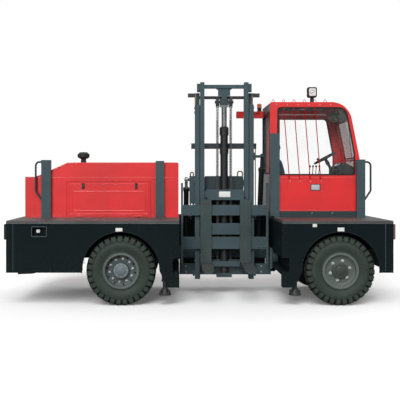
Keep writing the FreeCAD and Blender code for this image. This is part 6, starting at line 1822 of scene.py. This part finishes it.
        lo, hi = span("fork_carriage")
        top_low, top_high = 1.405, 1.647
        label = plate((x, lo[1], (top_low + top_high) / 2 + 0.045), NEAR, 0.176, 0.088, 0.002, 0.006,
                      0.0006)
        piece("blank_carriage_plate", label, "label", "carriage")
        heads = [(x + s * d, CARRIAGE_NEAR, z) for s in (-1, 1) for d in (0.52, 0.62)
                 for z in (1.275, 1.372, 0.752, 0.873)]
        heads += [(x + s * 0.27, CARRIAGE_NEAR, z) for s in (-1, 1) for z in (1.45, 1.60)]
        piece("carriage_bolts", bolts(heads, NEAR, size), "slate", "carriage")
        notches = []
        for z in (top_low, 0.906):
            notches.append(sweep([(lo[0] + 0.035, CARRIAGE_NEAR, z - 0.006),
                                  (hi[0] - 0.035, CARRIAGE_NEAR, z - 0.006)], HALF_ROUND * (0.8, 0.5),
                                 NEAR))
        piece("carriage_welds", notches, "slate", "carriage")
        for name in ("fork_rear", "fork_front"):
            lo, hi = span(name)
            at = np.array(((lo[0] + hi[0]) / 2, hi[1] - 0.030, hi[2]))
            pin = [lathe(at, UP,
                         [(-0.002, 0.014), (0.010, 0.014), (0.012, 0.010), (0.030, 0.010), (0.032, 0.017),
                          (0.046, 0.017), (0.049, 0.012)], 18),
                   plate(at, UP, 0.09, 0.05, 0.006, 0.010, 0.001, FAR)]
            piece(f"{name}_pin", pin, "steel", "carriage")

        for node in ("rear_stabiliser", "front_stabiliser"):
            lo, hi = span(node)
            at = (lo + hi) / 2
            ribs = []
            for turn in spaced(8):
                out = np.array((math.cos(turn), math.sin(turn), 0))
                ribs.append(boss(np.array((at[0], at[1], lo[2] + 0.052)) + out * 0.055, np.cross(UP, out),
                                 np.array([(-0.024, 0.032), (-0.024, -0.030), (0.026, -0.030)]),
                                 [(-0.004, 1), (0.004, 1)], UP))
            ribs.append(collar((at[0], at[1], lo[2] + 0.018), UP, 0.0870, 0.0885, 0.001, 0.007, 40))
            ribs.append(lathe((at[0], at[1], lo[2] + 0.080), UP,
                              [(0, 0.040), (0.004, 0.046), (0.016, 0.046), (0.020, 0.034)], 28))
            piece(f"{node}_ribs", ribs, "black_steel", node)
        lo, hi = span("stabiliser_barrels")
        collars = []
        for sx in (lo[0] + 0.045, hi[0] - 0.045):
            y = (lo[1] + hi[1]) / 2
            collars.append(collar((sx, y, lo[2]), UP, 0.0445, 0.050, 0.002, 0.024, 28))
            collars.append(lathe((sx, y, hi[2] - 0.003), UP, [(0, 0.040), (0.008, 0.040), (0.012, 0.030)],
                                 24))
        piece("jack_collars", collars, "steel")

        lo, hi = span("mast_trolley")
        heads = [(x + s * d, lo[1] + 0.210, z) for s in (-1, 1) for d in (0.30, 0.60) for z in (0.33, 0.42)]
        piece("trolley_bolts", bolts(heads, NEAR, size), "zinc", "trolley")
        heads = [(x + s * d, hi[1] - 0.185, z) for s in (-1, 1) for d in (0.30, 0.48) for z in (0.57, 0.67)]
        piece("trolley_rear_bolts", bolts(heads, FAR, size), "zinc", "trolley")
        return {"FINISHED"}


# ---------------- flap of painted shade, and lamps

class SIDELOADER_OT_splash_flap(bpy.types.Operator):
    """Hang a black rubber flap from the spine beam behind the mast well: a dark sheet of painted shade
    under the beam
    """
    bl_idname = "sideloader.splash_flap"
    bl_label = "Splash flap"

    def execute(self, context):
        # The flap's black sheet is painted shade for the dark view under the spine beam.
        lo, hi = span("spine_frame")
        across = np.linspace(lo[0] + 0.008, hi[0] - 0.008, 60)
        down = np.linspace(lo[2] + 0.050, lo[2] - 0.165, 12)
        wave = 0.004 * np.sin(across * 11.0)[None] * ((down[0] - down)
                                                      / (down[0] - down[-1]))[:, None] ** 1.5
        outer = np.stack([np.broadcast_to(across, wave.shape), hi[1] + 0.005 - np.abs(wave),
                          np.broadcast_to(down[:, None], wave.shape)], -1)
        inner = outer[::-1] - (0, 0.0045, 0)
        shape = tube(np.concatenate([outer, inner])[:, ::-1], True)
        piece("splash_flap", shape, "gasket")
        bar = plate(((lo[0] + hi[0]) / 2, hi[1] + 0.0045, lo[2] + 0.030), FAR, hi[0] - lo[0] - 0.04, 0.030,
                    0.0035, 0.004, 0.001)
        heads = bolts([(x, hi[1] + 0.008, lo[2] + 0.030)
                       for x in np.linspace(lo[0] + 0.08, hi[0] - 0.08, 9)], FAR, 0.013)
        piece("splash_flap_bar", [bar, heads], "steel")
        return {"FINISHED"}


class SIDELOADER_OT_lamps(bpy.types.Operator):
    """Add lenses, rims and bases to the lamps"""
    bl_idname = "sideloader.lamps"
    bl_label = "Lamps"

    def execute(self, context):
        lo, hi = span("end_lamps")
        groups = {"red": [], "amber": [], "clear": [], "rim": []}
        for x, facing, kind in ((lo[0], AFT, "red"), (hi[0], FORE, "clear")):
            for side in (-1, 1):
                y = side * (hi[1] - 0.055)
                z = (lo[2] + hi[2]) / 2
                groups["rim"].append(sweep(smooth_path([(x, y - 0.05, lo[2] + 0.005),
                                                        (x, y + 0.05, lo[2] + 0.005),
                                                        (x, y + 0.05, hi[2] - 0.005),
                                                        (x, y - 0.05, hi[2] - 0.005)], 0.008, 4),
                                           HALF_ROUND * 0.8, facing, True))
                groups[kind].append(plate((x, y, z - 0.052), facing, 0.088, 0.096, 0.006, 0.006, 0.002))
                groups["amber"].append(plate((x, y, z + 0.052), facing, 0.088, 0.096, 0.006, 0.006, 0.002))
        piece("tail_lenses", groups["red"], "lamp")
        piece("turn_lenses", groups["amber"], "amber_lamp")
        piece("head_lenses", groups["clear"], "clear")
        piece("end_lamp_rims", groups["rim"], "plastic")

        lo, hi = span("work_lamp")
        x, z = (lo[0] + hi[0]) / 2, hi[2] - 0.079
        lens = plate((x, lo[1], z), NEAR, 0.108, 0.122, 0.008, 0.018, 0.004)
        piece("work_lamp_lens", lens, "clear")
        bezel = sweep(smooth_path([(x - 0.063, lo[1], z - 0.071), (x - 0.063, lo[1], z + 0.071),
                                   (x + 0.063, lo[1], z + 0.071), (x + 0.063, lo[1], z - 0.071)], 0.024, 5),
                      HALF_ROUND * (1.2, 1.6), NEAR, True)
        fins = [boss((x, hi[1] - 0.004 - 0.016 * k, z), FAR, rounded(0.150, 0.166, 0.026),
                     [(-0.002, 0.97), (0, 1), (0.002, 0.97)]) for k in range(4)]
        feet = [bolt((x + s * 0.018, lo[1] + 0.050, lo[2] + 0.04), NEAR, 0.013) for s in (-1, 1)]
        stem = boss((x, lo[1] + 0.05, lo[2]), UP, rounded(0.10, 0.05, 0.012),
                    [(-0.001, 1), (0.005, 1), (0.006, 0.97)], FAR)
        lead = cable([(x + 0.01, hi[1] - 0.06, z - 0.06), (x + 0.01, hi[1] + 0.005, z - 0.11),
                      (x + 0.03, hi[1] - 0.02, lo[2] + 0.004)], 0.004, 0.04)
        piece("work_lamp_body", [bezel, stem, lead] + fins + feet, "plastic")
        bulb = [oval_ring((x, lo[1] - 0.007, z), NEAR, (0.001, 0.030), (0.002, 0.004), 8, 28),
                lathe((x, lo[1] - 0.006, z), NEAR, [(0, 0.014), (0.003, 0.013), (0.005, 0.006)], 20)]
        piece("work_lamp_reflector", bulb, "chrome")

        lo, hi = span("beacon")
        at = ((lo[0] + hi[0]) / 2, (lo[1] + hi[1]) / 2, lo[2])
        base = lathe(at, UP,
                     [(0, 0.044), (0.006, 0.044), (0.010, 0.0345), (0.050, 0.0345), (0.054, 0.0395),
                      (0.063, 0.0395), (0.0645, 0.036)], 32)
        piece("beacon_base", base, "plastic")
        rings = [oval_ring(at, UP, (z, 0.0378), 0.0022, 6, 32) for z in np.linspace(0.072, 0.114, 6)]
        piece("beacon_ribs", rings, "amber")
        beam = low("cab_frame")
        ends = [plate((beam[0], at[1], lo[2] - 0.056), AFT, 0.09, 0.10, 0.004, 0.008, 0.001),
                cable([(beam[0] + 0.10, at[1] - 0.05, lo[2] - 0.03),
                       (beam[0] + 0.30, at[1] - 0.056, lo[2] - 0.05), (at[0], at[1] - 0.052, lo[2] - 0.02)],
                      0.005, 0.05)]
        piece("beacon_beam_cap", ends, "gasket")
        return {"FINISHED"}


# ---------------- painting of the packed nodes, and the stage

# The camera's place along the truck, and the share of the view's width by which the view is moved.
EYE_X, SHIFT = -0.324, (0.0575, -0.0525)


class SIDELOADER_OT_finishes(bpy.types.Operator):
    """Make the finishes and paint the packed nodes"""
    bl_idname = "sideloader.finishes"
    bl_label = "Finishes"

    def execute(self, context):
        make_finishes()
        for finish, nodes in NODE_FINISHES.items():
            for node in nodes:
                slots = frame["nodes"][node].material_slots
                if not slots:
                    raise RuntimeError(f"{node} has no material slot")
                for slot in slots:
                    slot.material = FINISHES[finish]
        return {"FINISHED"}


class SIDELOADER_OT_stage(bpy.types.Operator):
    """Add the pale floor, the soft lamps, the plain surroundings and the camera"""
    bl_idname = "sideloader.stage"
    bl_label = "Stage"

    def execute(self, context):
        stage = context.scene.sideloader_stage
        scene = context.scene
        scene.view_settings.view_transform = "Standard"
        floor = Finish("pale_floor")
        seen = floor.number("ShaderNodeLightPath")
        cloud = floor.noise(0.8, 3.0)
        pale = floor.mix(cloud, (1.18, 1.18, 1.18), (1.21, 1.21, 1.21))
        tone = floor.mix(seen, (0.45, 0.45, 0.45), pale)
        matt = floor.node("ShaderNodeBsdfDiffuse", None, {"Color": tone}).outputs[0]
        white = floor.node("ShaderNodeEmission", None, {"Color": (1, 1, 1), "Strength": 1.0}).outputs[0]
        mixed = floor.node("ShaderNodeMixShader", None,
                           {0: seen * stage.lift, 1: matt, 2: white}).outputs[0]
        floor.tree.links.new(mixed, floor.out.inputs["Surface"])
        mesh = bpy.data.meshes.new("studio_floor")
        reach = 60.0
        mesh.from_pydata([(-reach, -20, 0), (reach, -20, 0), (reach, reach, 0), (-reach, reach, 0)], [],
                         [[0, 1, 2, 3]])
        mesh.materials.append(floor.material)
        ground = bpy.data.objects.new("studio_floor", mesh)
        scene.collection.objects.link(ground)

        world = bpy.data.worlds.new("studio")
        scene.world = world
        world.use_nodes = True
        studio = Nodes(world.node_tree)
        path = studio.node("ShaderNodeLightPath")
        camera_ray, glossy_ray, through = (Value(studio, path.outputs[f"Is {kind} Ray"])
                                           for kind in ("Camera", "Glossy", "Transmission"))
        dim = studio.node("ShaderNodeBackground", None,
                          {"Color": (1, 1, 1), "Strength": stage.world}).outputs[0]
        plain = studio.node("ShaderNodeBackground", None, {"Color": (1, 1, 1), "Strength": 1.0}).outputs[0]
        share = (camera_ray + through + glossy_ray * 0.4).math("MINIMUM", 1.0)
        mixed = studio.node("ShaderNodeMixShader", None, {0: share, 1: dim, 2: plain}).outputs[0]
        out = studio.node("ShaderNodeOutputWorld")
        studio.tree.links.new(mixed, out.inputs["Surface"])

        # Name, strength, direction of the light and angle that the lamp fills, which softens its shadows.
        for name, strength, direction, angle in (("front_lamp", stage.key, (0.25, 1.0, -0.42), 24),
                                                 ("top_lamp", stage.top, (0.1, 1.0, -1.0), 36),
                                                 ("rear_lamp", stage.rear, (-0.9, -1.0, -0.7), 30),
                                                 ("flank_lamp", stage.rear * 0.7, (1.0, -0.5, -0.6), 30)):
            light = bpy.data.lights.new(name, "SUN")
            light.energy = strength
            light.angle = math.radians(angle)
            lamp = bpy.data.objects.new(name, light)
            lamp.rotation_mode = "QUATERNION"
            lamp.rotation_quaternion = Vector(direction).to_track_quat("-Z", "Y")
            scene.collection.objects.link(lamp)

        camera = bpy.data.cameras.new("view")
        camera.sensor_width = 36.0
        camera.lens = stage.lens
        camera.shift_x, camera.shift_y = SHIFT
        camera.clip_end = 200.0
        eye = bpy.data.objects.new("view", camera)
        near = CAD_BOX[0][1]
        eye.location = (EYE_X, near - stage.distance, stage.eye)
        eye.rotation_euler = (math.radians(90), 0, 0)
        scene.collection.objects.link(eye)
        scene.camera = eye
        return {"FINISHED"}


GROUPS = {
    "sideloader_colours": SIDELOADER_PG_colours,
    "sideloader_wear": SIDELOADER_PG_wear,
    "sideloader_tyre": SIDELOADER_PG_tyre,
    "sideloader_fittings": SIDELOADER_PG_fittings,
    "sideloader_stage": SIDELOADER_PG_stage,
}
STEPS = (
    SIDELOADER_OT_stage,
    SIDELOADER_OT_finishes,
    SIDELOADER_OT_tyres,
    SIDELOADER_OT_wheel_fittings,
    SIDELOADER_OT_frame_trim,
    SIDELOADER_OT_post_trim,
    SIDELOADER_OT_cover_trim,
    SIDELOADER_OT_cab_trim,
    SIDELOADER_OT_cab_inside,
    SIDELOADER_OT_seat,
    SIDELOADER_OT_chains,
    SIDELOADER_OT_mast_fittings,
    SIDELOADER_OT_splash_flap,
    SIDELOADER_OT_lamps,
)


class SIDELOADER_PT_panel(bpy.types.Panel):
    """Settings and steps of the truck"""
    bl_idname = "SIDELOADER_PT_panel"
    bl_label = "Side loader"
    bl_space_type = "VIEW_3D"
    bl_region_type = "UI"
    bl_category = "Side loader"

    def draw(self, context):
        for name, group in GROUPS.items():
            box = self.layout.box()
            box.label(text=group.__doc__)
            for key in group.__annotations__:
                box.prop(getattr(context.scene, name), key)
        for step in STEPS:
            self.layout.operator(step.bl_idname)


def register():
    """Registers the groups, operators and panel."""
    for made in (*GROUPS.values(), *STEPS, SIDELOADER_PT_panel):
        bpy.utils.register_class(made)
    for name, group in GROUPS.items():
        setattr(bpy.types.Scene, name, bpy.props.PointerProperty(type=group))


def unregister():
    """Removes what register added."""
    for name in GROUPS:
        delattr(bpy.types.Scene, name)
    for made in (SIDELOADER_PT_panel, *reversed(STEPS), *reversed(list(GROUPS.values()))):
        bpy.utils.unregister_class(made)


def main():
    """Runs every step in order."""
    register()
    for step in STEPS:
        group, name = step.bl_idname.split(".")
        getattr(getattr(bpy.ops, group), name)()


if __name__ == "__main__":
    main()
